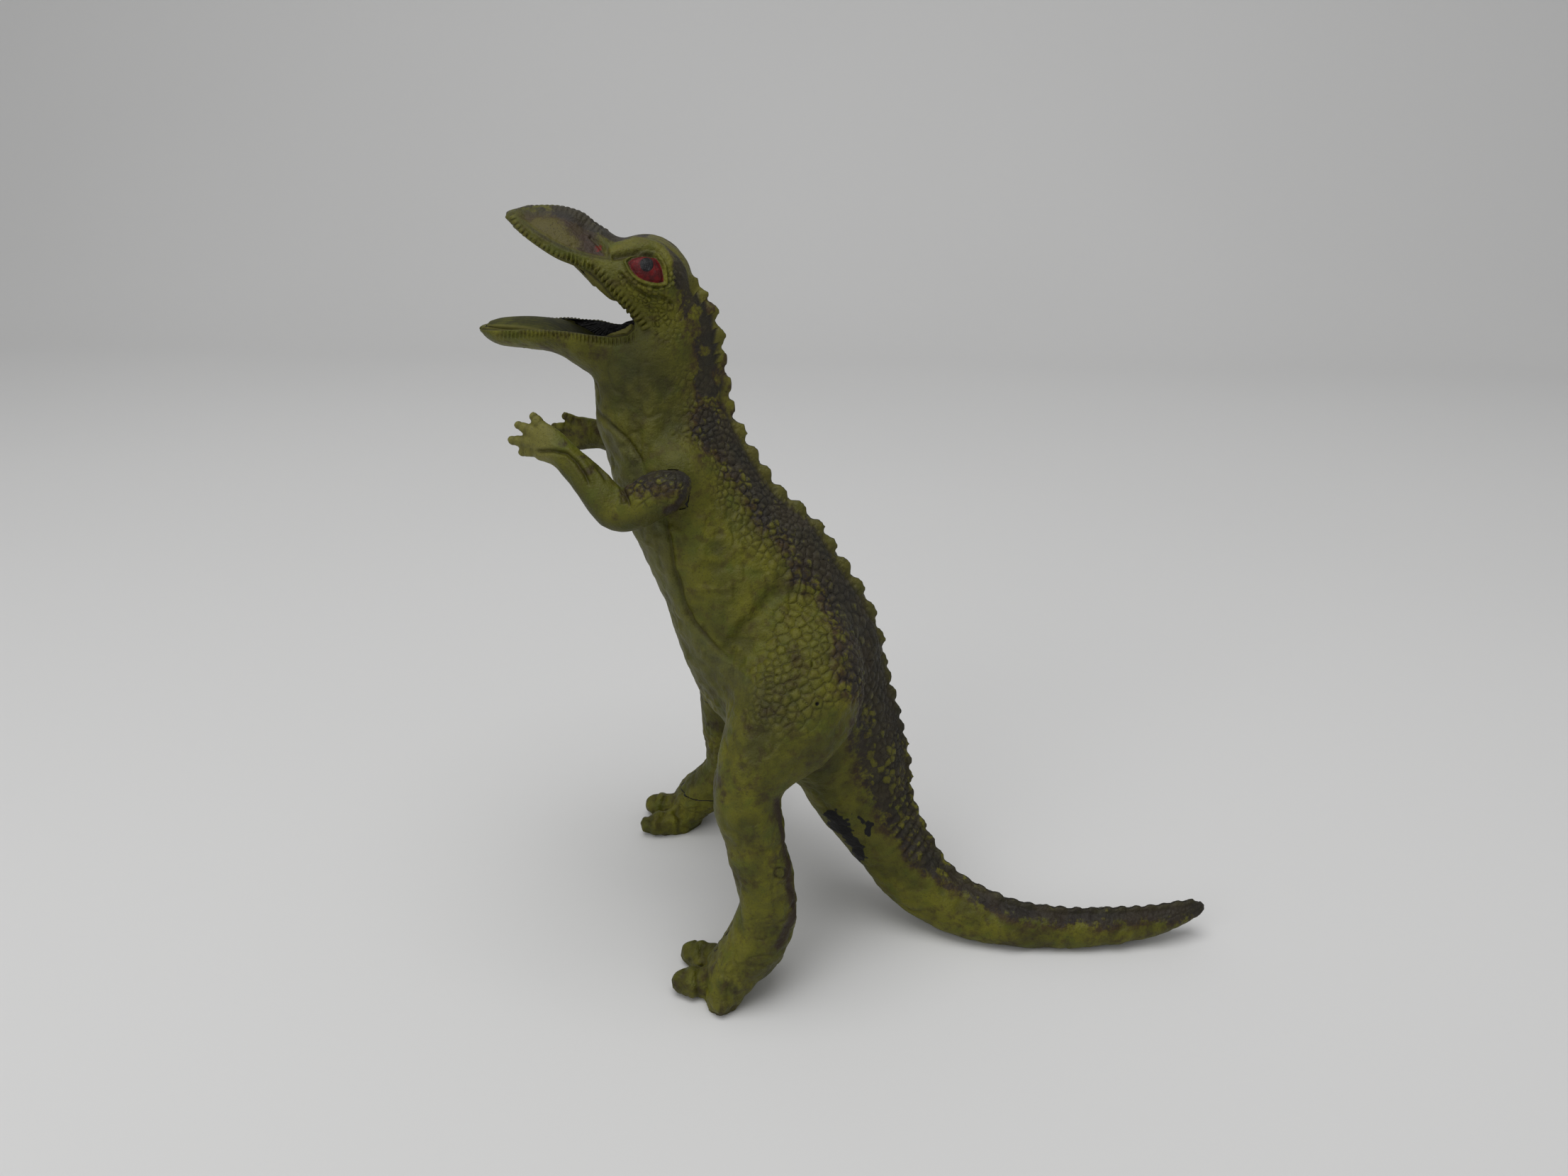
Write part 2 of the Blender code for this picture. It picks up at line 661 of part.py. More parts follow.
def shells(figure, cutters):
    """The two half shells and the two inner leg covers."""
    body = skin(figure)
    floor = as_cutter(
        block("floor_cut", (-LENGTH, -LENGTH, -SPARE), (LENGTH, LENGTH, 0), cutters)
    )
    boolean(body, floor, "DIFFERENCE")
    hollow = as_cutter(core(cutters))
    boolean(body, hollow, "DIFFERENCE")
    recess = as_cutter(liner_sheet(SEAM_GAP, cutters, "liner_cut"))
    boolean(body, recess, "DIFFERENCE")
    boolean(body, as_cutter(pocket_cut(cutters)), "DIFFERENCE")
    for side, word in ((-1, "left"), (1, "right")):
        edges = sorted((side * SEAM_GAP / 2, side * LENGTH))
        low, high = (-LENGTH, edges[0], -SPARE), (LENGTH, edges[1], HEIGHT + SPARE)
        own = as_cutter(block(f"own_half_{word}", low, high, cutters))
        half = boolean(copy_of(body, f"body_shell_{word}", figure), own, "INTERSECT", "MANIFOLD")
        cover = copy_of(half, f"leg_inner_{word}", figure)
        inside = cover_block(side, SEAM_GAP, cutters, f"cover_keep_{word}")
        boolean(cover, inside, "INTERSECT")
        taken = cover_block(side, 0.0, cutters, f"cover_cut_{word}")
        boolean(half, taken, "DIFFERENCE")
        for cutter in shoulder_cuts(side, cutters):
            boolean(half, cutter, "DIFFERENCE")
        bend(half)
    bpy.data.objects.remove(body, do_unlink=True)


def arm(side, word, group):
    """One arm with its stud and flange. Its origin is on the shoulder axis."""
    out = SHOULDER_SPAN / 2 + TURN_CLEARANCE + ARM_THICKNESS / 2
    mesh = bmesh.new()

    def place(along, up, outward):
        return along * ARM_REACH, side * (out + outward * ARM_REACH), up * ARM_REACH

    rows = [
        (*place(*spot), depth * ARM_THICKNESS / 2, depth * ARM_THICKNESS / 2, width * ARM_THICKNESS / 2)
        for *spot, depth, width in ARM_shares
    ]
    loft(mesh, rows)
    for start, end, thick in FINGER_shares:
        first, last = np.array(place(*start)), np.array(place(*end))
        finger = []
        for share, size in FINGER_PROFILE_shares:
            half = size * thick * ARM_THICKNESS / 2
            finger.append((*(first + (last - first) * share), half, half, half))
        loft(mesh, finger)
    limb = fuse(object_from(mesh, f"arm_{word}", group), ARM_VOXEL, 2, ARM_FACES)
    seat = SHOULDER_SPAN / 2 + TURN_CLEARANCE
    flat = as_cutter(
        block(
            f"arm_flat_{word}",
            (-ARM_FLAT_share * ARM_REACH, min(side * seat, -side * SPARE), -LENGTH),
            (LENGTH, max(side * seat, -side * SPARE), LENGTH),
            bpy.data.collections["cutters"],
        )
    )
    boolean(limb, flat, "DIFFERENCE")
    mesh = bmesh.new()
    flange_out = SHOULDER_SPAN / 2 - SEAT_WALL - TURN_CLEARANCE
    cylinder(mesh, (0, 0), STUD_RADIUS, flange_out - FLANGE_THICKNESS / 2, seat + STUD_RADIUS, side)
    stud = as_cutter(object_from(mesh, f"stud_{word}", bpy.data.collections["cutters"]))
    boolean(limb, stud, "UNION")
    mesh = bmesh.new()
    cylinder(mesh, (0, 0), FLANGE_RADIUS, flange_out - FLANGE_THICKNESS, flange_out, side)
    flange = as_cutter(object_from(mesh, f"flange_{word}", bpy.data.collections["cutters"]))
    boolean(limb, flange, "UNION")
    x, z = shoulder()
    limb.location = (x, 0, z)
    if side > 0:
        limb.rotation_euler = (0, -RIGHT_ARM_DROP, 0)
    return limb


def main():
    clear_scene()
    figure, cutters = collection("toy_dinosaur"), collection("cutters")
    green = material("olive_paint", (0.16, 0.17, 0.05), 0.5)
    dark = material("mouth_green", (0.10, 0.12, 0.04), 0.55)
    shells(figure, cutters)
    liner_sheet(0.0, figure, "mouth_liner")
    for side, word in ((-1, "left"), (1, "right")):
        arm(side, word, figure)
    for thing in figure.objects:
        thing.data.materials.clear()
        thing.data.materials.append(dark if thing.name == "mouth_liner" else green)
        thing.data.shade_smooth()


main()
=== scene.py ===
import math

import bmesh
import bpy
import numpy as np
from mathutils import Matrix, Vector
from mathutils.kdtree import KDTree


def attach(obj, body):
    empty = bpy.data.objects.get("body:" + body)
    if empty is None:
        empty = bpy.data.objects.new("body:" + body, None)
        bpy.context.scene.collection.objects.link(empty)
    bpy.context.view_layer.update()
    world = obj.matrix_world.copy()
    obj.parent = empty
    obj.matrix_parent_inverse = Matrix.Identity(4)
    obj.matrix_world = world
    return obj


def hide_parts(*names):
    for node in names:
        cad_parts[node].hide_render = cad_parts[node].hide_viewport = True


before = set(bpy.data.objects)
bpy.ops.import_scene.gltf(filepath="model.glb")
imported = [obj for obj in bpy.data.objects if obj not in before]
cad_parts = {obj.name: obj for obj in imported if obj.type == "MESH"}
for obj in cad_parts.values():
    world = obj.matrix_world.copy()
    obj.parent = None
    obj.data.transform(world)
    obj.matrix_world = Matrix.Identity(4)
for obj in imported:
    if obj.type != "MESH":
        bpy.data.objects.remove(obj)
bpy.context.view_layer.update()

# The looks of the hollow toy dinosaur. All sizes here are in millimetres until a mesh is made. The
# snout points to -X and the animal's left side faces -Y. Lines named _px are places in the photo, and
# what they mark is made on both sides of the animal.
MM = 0.001

# The part's own sizes and stations
LENGTH = 215.5
HEIGHT = 217
STANCE = 45
STRIDE = 26
TAIL_SWAY = 14
SEAM_GAP = 0.3
FLOOR_PRESS = 0.5
TRUNK_DEPTH = 59
TRUNK_WIDTH = 59
SKULL_DEPTH = 21
SKULL_WIDTH = 29
BILL_DEPTH = 11.5
BILL_WIDTH = 28.5
JAW_DEPTH = 16
JAW_WIDTH = 26
LINER_WALL = 1.4
LINER_INSET = 1.6
SHIN_DEPTH = 18
SHIN_WIDTH = 19
FOOT_DEPTH = 9
TOE_WIDTH = 8.6
TOE_REACH = 21
SHOULDER_SPAN = 43
SEAT_RADIUS = 7
ARM_THICKNESS = 11.8
ARM_REACH = 42
STUD_RADIUS = 2.8
FLANGE_RADIUS = 4.3
FLANGE_THICKNESS = 1.6
TURN_CLEARANCE = 0.3
SEAT_WALL = 3
POCKET_REACH = 14
RIGHT_ARM_DROP = math.radians(15)
CREST_RISE = 3.1
CREST_THICKNESS = 3
SPARE = 60
COVER_shares = (0.0645, 0.249)
ARM_FLAT_share = 0.5
# Stations down the neck and trunk. Place along LENGTH from its middle, place up HEIGHT, and full
# depth and width as shares of TRUNK_DEPTH and TRUNK_WIDTH.
TRUNK_shares = (
    (-0.2692, 0.895, 0.20, 0.24),
    (-0.2535, 0.863, 0.40, 0.40),
    (-0.2665, 0.817, 0.585, 0.45),
    (-0.2715, 0.760, 0.60, 0.49),
    (-0.2548, 0.700, 0.635, 0.62),
    (-0.2326, 0.645, 0.675, 0.74),
    (-0.2015, 0.589, 0.725, 0.82),
    (-0.1660, 0.537, 0.840, 0.89),
    (-0.1420, 0.488, 0.905, 0.95),
    (-0.1170, 0.438, 0.95, 0.99),
    (-0.0905, 0.390, 0.905, 0.98),
    (-0.0675, 0.346, 0.80, 0.88),
    (-0.0418, 0.301, 0.70, 0.74),
    (-0.0181, 0.255, 0.60, 0.59),
    (-0.0033, 0.211, 0.545, 0.52),
    (0.018, 0.165, 0.46, 0.46),
    (0.0506, 0.116, 0.405, 0.41),
)
# Stations along the tail. Place along LENGTH, height of its underside as a share of HEIGHT, and its
# thickness as a share of TRUNK_DEPTH.
TAIL_shares = (
    (0.0807, 0.022, 0.385),
    (0.1212, 0.002, 0.348),
    (0.1726, -0.004, 0.288),
    (0.2418, -0.002, 0.225),
    (0.3071, -0.002, 0.204),
    (0.3723, 0.003, 0.187),
    (0.4316, 0.014, 0.150),
    (0.4771, 0.030, 0.104),
    (0.4998, 0.043, 0.056),
)
# Skull stations from front to back: place, height, depth above and below it and full width.
SKULL_shares = (
    (-0.37, 0.940, 0.10, 0.10, 0.50),
    (-0.3522, 0.938, 0.22, 0.20, 0.80),
    (-0.3235, 0.931, 0.33, 0.42, 0.95),
    (-0.2929, 0.920, 0.50, 0.55, 1.00),
    (-0.2652, 0.911, 0.47, 0.55, 0.93),
    (-0.2435, 0.899, 0.32, 0.42, 0.72),
    (-0.2296, 0.890, 0.08, 0.15, 0.30),
)
# Bill stations from its tip back to the cheek: place, height of the rim, depth above and below it as
# shares of BILL_DEPTH, and full width.
BILL_shares = (
    (-0.4545, 0.9905, 0.04, 0.03, 0.12),
    (-0.4471, 0.988, 0.16, 0.08, 0.44),
    (-0.4313, 0.980, 0.42, 0.10, 0.71),
    (-0.4076, 0.966, 0.72, 0.12, 0.92),
    (-0.3799, 0.950, 0.88, 0.12, 1.00),
    (-0.3522, 0.940, 0.72, 0.14, 0.98),
    (-0.3285, 0.926, 0.76, 0.22, 0.94),
    (-0.3057, 0.911, 0.92, 0.30, 0.91),
    (-0.287, 0.898, 1.10, 0.34, 0.88),
    (-0.2593, 0.888, 1.00, 0.50, 0.70),
)
# Lower jaw stations from the chin tip back: place, height of the rim, depth above and below it as
# shares of JAW_DEPTH, and full width.
JAW_shares = (
    (-0.5005, 0.851, 0.03, 0.05, 0.12),
    (-0.4916, 0.853, 0.04, 0.20, 0.38),
    (-0.4708, 0.8545, 0.04, 0.34, 0.66),
    (-0.4352, 0.856, 0.04, 0.40, 0.86),
    (-0.3987, 0.856, 0.02, 0.47, 0.95),
    (-0.3611, 0.855, 0.01, 0.75, 1.00),
    (-0.3245, 0.852, 0.03, 0.98, 1.00),
    (-0.2929, 0.855, 0.06, 1.00, 0.96),
    (-0.2593, 0.858, 0.12, 0.94, 0.78),
)
# The liner's line in side view, from under the bill tip back along the palate, down into the throat
# pocket and out along the tongue plate to the chin: place, height, arch as a share of JAW_DEPTH (up is
# positive) and full width as a share of JAW_WIDTH.
LINER_shares = (
    (-0.4412, 0.9790, 0.06, 0.42),
    (-0.4263, 0.9715, 0.10, 0.66),
    (-0.4056, 0.9590, 0.14, 0.84),
    (-0.3799, 0.9445, 0.16, 0.93),
    (-0.3522, 0.9330, 0.16, 0.93),
    (-0.3285, 0.9140, 0.14, 0.90),
    (-0.3087, 0.8985, 0.10, 0.86),
    (-0.2929, 0.8780, 0.02, 0.80),
    (-0.2889, 0.8560, -0.04, 0.76),
    (-0.3008, 0.8360, -0.10, 0.74),
    (-0.3245, 0.8260, -0.12, 0.74),
    (-0.3522, 0.8310, -0.10, 0.76),
    (-0.3779, 0.8430, -0.04, 0.80),
    (-0.4016, 0.8520, 0.03, 0.80),
    (-0.4352, 0.8560, 0.07, 0.72),
    (-0.4688, 0.8555, 0.07, 0.52),
    (-0.4866, 0.8535, 0.04, 0.28),
)
# The liner's stations that the open pocket behind the tongue plate lies between.
POCKET_ROWS = (5, 14)
# Leg stations from the hip to the ball of the foot: place, height, distance from the midplane as a
# share of STANCE, full depth and width as shares of the shin's, and the share of STRIDE taken.
LEG_shares = (
    (-0.0735, 0.500, 0.32, 1.25, 0.85, 0.06),
    (-0.0755, 0.438, 0.51, 2.05, 1.40, 0.16),
    (-0.0932, 0.388, 0.67, 2.02, 1.50, 0.26),
    (-0.1288, 0.340, 0.800, 1.38, 1.36, 0.42),
    (-0.1437, 0.300, 0.872, 1.10, 1.21, 0.56),
    (-0.1348, 0.255, 0.910, 1.04, 1.10, 0.70),
    (-0.1239, 0.198, 0.936, 0.94, 1.00, 0.82),
    (-0.115, 0.152, 0.956, 0.93, 0.95, 0.87),
    (-0.1199, 0.110, 0.974, 0.98, 0.95, 0.80),
    (-0.1350, 0.074, 0.992, 0.98, 1.06, 0.87),
    (-0.1636, 0.038, 1.000, 0.80, 1.20, 0.97),
    (-0.1762, -0.005, 0.996, 0.52, 1.12, 1.00),
)
# Toes: start and end place beyond the ball as shares of TOE_REACH, start and end offset outward as
# shares of TOE_WIDTH, and width.
TOE_shares = (
    (0.10, 1.00, 0.00, 0.25, 1.00),
    (0.00, 0.42, 0.55, 1.12, 0.98),
    (0.00, 0.98, -0.75, -1.45, 0.98),
)
# The shape of a toe from the ball to its tip: place and size.
TOE_PROFILE_shares = ((0, 0.86), (0.35, 0.98), (0.7, 0.96), (0.9, 0.74), (0.98, 0.42), (1, 0.1))
TOE_LIFT_share = 0.42  # of FOOT_DEPTH, the height of the tip's middle
TOE_FLAT_share = 0.8  # of the toe, the part that lies on the floor
FOOT_PLACE_share = -0.1476  # of LENGTH, the ball of the left foot
FOOT_SIDE_share = 1.006  # of STANCE

# The shoulder axis, as shares of LENGTH and HEIGHT, and the arm's stations from it: reach along the
# length, up, outward and thickness, the first three as shares of ARM_REACH and the last of
# ARM_THICKNESS, in depth and width.
SHOULDER_PLACE_share = -0.2385
SHOULDER_HEIGHT_share = 0.682
ARM_shares = (
    (0.120, -0.010, 0.000, 0.50, 0.62),
    (0.045, 0.000, 0.000, 0.92, 0.92),
    (-0.090, -0.035, 0.005, 1.04, 1.00),
    (-0.235, -0.120, 0.005, 0.98, 0.98),
    (-0.345, -0.140, 0.000, 0.96, 0.94),
    (-0.435, -0.055, -0.010, 0.90, 0.86),
    (-0.530, 0.050, -0.035, 0.78, 0.76),
    (-0.665, 0.175, -0.075, 0.69, 0.62),
    (-0.760, 0.235, -0.110, 0.82, 0.53),
    (-0.840, 0.260, -0.130, 0.86, 0.45),
    (-0.895, 0.265, -0.140, 0.42, 0.26),
)
# Fingers: where each starts and ends, in the same shares, and its thickness.
FINGER_shares = (
    ((-0.775, 0.300, -0.125), (-0.900, 0.430, -0.165), 0.27),
    ((-0.820, 0.290, -0.130), (-1.010, 0.365, -0.165), 0.27),
    ((-0.830, 0.250, -0.130), (-1.060, 0.255, -0.165), 0.27),
    ((-0.780, 0.195, -0.130), (-1.000, 0.175, -0.170), 0.27),
)
# The swelling under each shoulder seat, as shares of SEAT_RADIUS: how deep its middle lies and its
# radius along the body and out from it.
BOSS_shares = (0.8, 1.35, 1.15)
PLATE_HALF_share = 0.465  # of the step from plate to plate, half a crest plate's length
PLATE_RISE_share = 1.22  # of CREST_RISE, how far a plate's ball reaches up
TAIL_RIDGE_STEPS = (5.6, 4.0)  # from ridge to ridge at the root of the tail and at its tip
TAIL_RIDGES_REACH = 90  # how long before the tip the ridges start to draw closer
TAIL_RETURN_share = 0.55  # of TAIL_SWAY that the tail's tip swings back
SWAY_shares = (-0.003, 0.242)  # where along LENGTH the tail's swing starts and is full
COVER_DEPTH_share = 0.8  # of SHIN_WIDTH, how far in the leg covers are cut
# How much the upper side of each loft narrows, and how hollow the flanks of the bill are.
TRUNK_KEEL_share = 0.22
SKULL_KEEL_share = 0.12
JAW_KEEL_share = -0.05
BILL_HOLLOW_share = 1.35

# Joints of a toe as its share, depth and width, and of a finger as its share and depth
TOE_JOINTS = ((0.36, 0.22, 0.05), (0.60, 0.26, 0.05), (0.80, 0.30, 0.04))
FINGER_JOINTS = ((0.52, 0.08), (0.8, 0.14))
HEAD_FROM = (150, 156)  # heights between which the neck turns into the head
# How fine the skin is made, and how many rounds it is evened out in all and where forms meet
SKIN_CELL = 0.92
ARM_CELL = 0.5
RING_POINTS = 44
STEPS = 6
EVEN_ROUNDS, BLEND_ROUNDS = 12, 110
BALL_RINGS, BALL_POINTS = 11, 20
CHEEK_SCALE = 2.1  # width of the small scales of the cheek
DEEP_CUT = 1.3  # a cut surface further in than this takes no dark spray or highlight from the skin, and is darkened as painted shade

# The camera as it stood for the photo: its place, tilt down, turn and focal length in photo pixels
EYE = np.array((4.15, -320, 240))
TILT = math.radians(22)
TURN = math.radians(5)
FOCAL = 1665
PHOTO_WIDTH, PHOTO_HEIGHT = 2212, 1659

# Lines seen in the photo
DISH_px = (
    (731, 303), (736, 297), (750, 292), (775, 293), (793, 296), (812, 303), (828, 312), (842, 324), (851, 338),
    (857, 352), (860, 365), (850, 365), (837, 362), (820, 358), (803, 353), (786, 345), (769, 336),
    (754, 326), (742, 316), (734, 309),
)
DISH_LIGHT_px = (
    (736, 303), (752, 300), (771, 302), (790, 311), (806, 323), (818, 340), (808, 350), (789, 347), (766, 338),
    (748, 325),
)
RIM_px = (
    (722, 303), (727, 316), (738, 330), (755, 344), (772, 354), (790, 362), (808, 368), (824, 373),
    (836, 378),
)
RIM_TOP_px = (
    (728, 297), (738, 293), (752, 290.5), (768, 290.5), (784, 293), (800, 297), (816, 304), (830, 313), (842, 323),
    (851, 332),
)
NOSTRIL_px = ((835, 332), (843, 339), (848, 345), (851, 351))
NOSTRIL_RED_px = (845, 347)
NOSTRIL_RADIUS_px = 5.5
BROW_px = (
    (868, 355), (876, 350), (887, 345), (898, 342), (910, 343), (922, 346), (932, 352), (939, 361),
    (944, 372),
)
BROW_CREASE_px = ((866, 363), (876, 361), (887, 357.5), (899, 356), (909, 356.5), (920, 359))
EYE_px = (
    (885, 369), (891, 364), (898, 361), (905, 358.5), (912.6, 358), (920, 360), (926, 364), (931, 371),
    (934.5, 379), (936.5, 389), (937, 398), (928, 399.5), (919, 398.3), (909, 395.5), (901, 391.5),
    (895, 386.5), (890, 379.5),
)
PUPIL_px = (912.2, 373.9)
PUPIL_RADIUS_px = 9.6
CHEEK_px = (
    (838, 378), (847, 386), (856, 397), (866, 409), (877, 420), (886, 431), (896, 442), (903, 451), (909, 459),
    (913, 468),
)
CHEEK_CREASE_px = ((876, 387), (893, 405), (915, 418), (936.5, 420), (947, 429))
JAW_SEAM_px = (
    (672, 463), (712.6, 463.5), (745.2, 461.3), (777.8, 462.4), (810.4, 465.7), (843, 471.1),
    (864.8, 473.3), (884.3, 471.1), (892, 464), (893, 455), (884.3, 446.1), (867, 424.3),
    (849.6, 402.6), (830, 385.2), (801.7, 372.2),
)
SHOULDER_MARK_px = (951, 616)
BELLY_px = (
    (846, 583.5), (884, 619), (903, 648), (920, 687), (937, 725), (946, 766), (952, 804),
    (963.5, 848), (981, 881), (1005, 907), (1037, 939),
)
THROAT_px = ((775, 500), (800, 530), (822, 556), (846, 583.5))
THIGH_CREASES_px = (
    ((1105, 804), (1093, 833.5), (1072, 857), (1049, 881), (1034, 907), (1031, 916)),
    ((1099, 836.5), (1084, 857), (1063.5, 881), (1046, 904), (1037, 925)),
    ((1037, 939), (1026, 962), (1016.5, 986.5)),
    ((1113.5, 1089), (1152, 1054), (1187, 1028), (1216, 995)),
)
THIGH_CREASE_DEPTHS = (0.55, 0.35, 0.35, 0.4)
VENT_px = (1153, 993)
VENT_RADIUS_px = 3.2
SCAR_px = (1100, 1231)
SCAR_RADIUS_px = 8
SCALED_px = (
    (955, 430), (965, 520), (960, 590), (985, 650), (1020, 705), (1045, 745), (1060, 775), (1085, 800),
    (1100, 830), (1095, 860), (1085, 900), (1065, 940), (1060, 985), (1062, 1020), (1110, 1030),
    (1160, 1010), (1200, 985), (1225, 1020), (1240, 1100), (1270, 1160), (1320, 1215), (1400, 1262),
    (1500, 1290), (1690, 1285),
)
DARK_px = (
    (690, 297), (735, 296), (765, 297), (790, 303), (815, 313), (838, 326), (855, 338), (868, 339),
    (880, 335), (900, 332), (920, 337), (941, 351), (956, 374), (962, 400), (966, 430), (970, 470), (972, 500),
    (974, 530), (977, 560), (982, 590), (996, 625), (1020, 655), (1044, 684), (1064, 712), (1084, 742),
    (1108, 772), (1130, 800), (1165, 838), (1185, 880), (1192, 920), (1200, 960), (1212, 1000), (1212, 1050),
    (1215, 1090), (1232, 1130), (1260, 1170), (1290, 1210), (1330, 1240), (1380, 1275), (1440, 1290), (1500, 1300),
    (1560, 1303), (1620, 1298), (1700, 1290),
)
NAPE_px = ((915, 335), (935, 345), (948, 360), (957, 378), (962, 398))
BIGGEST_SCALE_px = (1134, 884)
FAINT_SCALES_px, LUMPS_px = (1075, 1000), (925, 622)
SHADED_NECK_px, SHADED_THIGH_px = (905, 530), (1085, 1005)
SHIN_STRIP_px = (
    (1096, 1130), (1102, 1155), (1110, 1185), (1113, 1210), (1111, 1238), (1118, 1262), (1122, 1285), (1110, 1312),
    (1098, 1335),
)
BARE_px = (
    ((1173, 1150), (1184, 1163), (1195, 1172), (1205, 1190), (1213, 1211)),
    ((1211, 1153), (1222, 1160), (1226, 1170)),
)
BARE_RADII_px = (9.0, 5.0)
# Brown patches, each as its place and its width. The last two, under the jaw, are painted shade.
STAIN_px = (
    (1015, 1105, 42), (1045, 1085, 30), (1098, 1235, 26), (1150, 1070, 26), (1106, 1160, 24), (1110, 1200, 26),
    (1114, 1268, 22), (1092, 1305, 24), (1060, 1185, 28), (1070, 1375, 36), (1040, 1390, 28), (975, 1398, 22),
    (1020, 1420, 20), (1125, 925, 24), (1105, 970, 28), (1082, 1002, 28), (1010, 1185, 22), (1062, 1030, 24),
    (1090, 1335, 22), (960, 1385, 18), (1000, 1372, 20), (1040, 1240, 30), (1075, 1120, 30), (782, 486, 30),
    (850, 496, 22),
)
CREST_px = (
    (980, 382), (996, 408), (1002, 439), (1009, 474), (1014, 506), (1020, 542), (1034, 570), (1051, 604),
    (1068, 636), (1086, 662), (1107, 688), (1130, 713), (1156, 740), (1177, 763), (1197, 793), (1217, 822),
    (1232, 857), (1246, 894), (1253, 928),
)


def smoothstep(low, high, value):
    """From 0 at low to 1 at high, with soft ends. low may be the larger one."""
    share = np.clip((value - low) / (high - low), 0, 1)
    return share * share * (3 - 2 * share)


def zone(*steps):
    """1 where all of some smoothsteps are. Each is given as its low, high and value."""
    return math.prod(smoothstep(*step) for step in steps)


def bell(gap, width):
    """1 where the gap is 0, and falling off to both sides."""
    return np.exp(-((gap / width) ** 2))


def patch(u, v, place, wide, high):
    """A soft oval patch in the photo."""
    return bell(np.hypot((u - place[0]) / wide, (v - place[1]) / high), 1)


def stains(u, v, spots):
    """The strongest of some round patches in the photo, each given as its place and its width."""
    return np.maximum.reduce([bell(np.hypot(u - at_u, v - at_v), wide) for at_u, at_v, wide in spots])


LATTICE_SIZE = 48
LATTICE = np.random.default_rng(7).random((LATTICE_SIZE,) * 3)


def noise(points, size, shift=0.0):
    """Smooth noise from -1 to 1 whose lumps are about size across."""
    place = points / size + shift
    whole = np.floor(place).astype(int)
    part = place - whole
    part = part * part * (3 - 2 * part)
    total = np.zeros(len(points))
    for corner in range(8):
        step = [(corner >> axis) & 1 for axis in range(3)]
        spot = [(whole[:, axis] + step[axis]) % LATTICE_SIZE for axis in range(3)]
        weight = np.ones(len(points))
        for axis in range(3):
            weight = weight * (part[:, axis] if step[axis] else 1 - part[:, axis])
        total += weight * LATTICE[spot[0], spot[1], spot[2]]
    return 2 * total - 1


def path(line, u, v):
    """Distance from a line in the photo, the same with a sign that is positive on the line's left, and
    how far along the line."""
    best = np.full(len(u), 1e9)
    side, along, gone = np.zeros(len(u)), np.zeros(len(u)), 0.0
    for (ax, ay), (bx, by) in zip(line, line[1:]):
        dx, dy = bx - ax, by - ay
        size = math.hypot(dx, dy)
        t = np.clip(((u - ax) * dx + (v - ay) * dy) / size**2, 0, 1)
        gap = np.hypot(u - ax - t * dx, v - ay - t * dy)
        near = gap < best
        best = np.where(near, gap, best)
        side = np.where(near, np.sign(dy * (u - ax) - dx * (v - ay)), side)
        along = np.where(near, gone + t * size, along)
        gone += size
    return best, side * best, along


def inside(outline, u, v):
    """Distance from a closed line in the photo, positive inside it."""
    closed = list(outline) + [outline[0]]
    gap = path(closed, u, v)[0]
    odd = np.zeros(len(u), bool)
    for (ax, ay), (bx, by) in zip(closed, closed[1:]):
        if ay != by:
            odd ^= ((ay > v) != (by > v)) & (u < (bx - ax) * (v - ay) / (by - ay) + ax)
    return np.where(odd, gap, -gap)


def fading(line, along, reach):
    """1 along a line in the photo, and down to 0 over so many pixels at both its ends."""
    length = sum(math.dist(a, b) for a, b in zip(line, line[1:]))
    return zone((0, reach, along), (0, reach, length - along))


def beads(line, u, v, spacing, across, sharp=1.0):
    """A row of beads along a line in the photo, from 0 to 1."""
    gap, _, along = path(line, u, v)
    return bell(gap, across) * np.abs(np.sin(np.pi * along / spacing)) ** sharp * fading(line, along, spacing / 2)


def to_photo(place):
    """Where places show in the photo."""
    s, n, up = (place - EYE).T
    right = math.cos(TURN) * s + math.sin(TURN) * n
    deep = -math.sin(TURN) * s + math.cos(TURN) * n
    ahead = deep * math.cos(TILT) - up * math.sin(TILT)
    rise = deep * math.sin(TILT) + up * math.cos(TILT)
    return PHOTO_WIDTH / 2 + FOCAL * right / ahead, PHOTO_HEIGHT / 2 - FOCAL * rise / ahead


def from_photo(u, v):
    """The way from the camera to a place in the photo."""
    right = np.array((math.cos(TURN), math.sin(TURN), 0))
    deep, up = np.array((-math.sin(TURN), math.cos(TURN), 0)), np.array((0, 0, 1))
    ahead = deep * math.cos(TILT) - up * math.sin(TILT)
    rise = deep * math.sin(TILT) + up * math.cos(TILT)
    return ahead + right * (u - PHOTO_WIDTH / 2) / FOCAL - rise * (v - PHOTO_HEIGHT / 2) / FOCAL


def sway(x):
    """How far the tail's swing moves the middle of the body along Y at x."""
    start, full = (share * LENGTH for share in SWAY_shares)
    share = np.clip((x - start) / (full - start), 0, 1)
    back = np.clip((x - full) / (LENGTH / 2 - full), 0, 1)
    return -TAIL_SWAY * (share**2 * (3 - 2 * share)) * (1 - TAIL_RETURN_share * back**2)


def toward_eye(place, normals):
    """How squarely surfaces look at the camera, from -1 to 1."""
    view = EYE - place
    view /= np.linalg.norm(view, axis=1)[:, None]
    return (normals * view).sum(axis=1)


# Height, share of STRIDE and distance from the midplane along the leg
LEG_LINE = np.array(sorted((up * HEIGHT, share, out * STANCE) for _, up, out, _, _, share in LEG_shares))


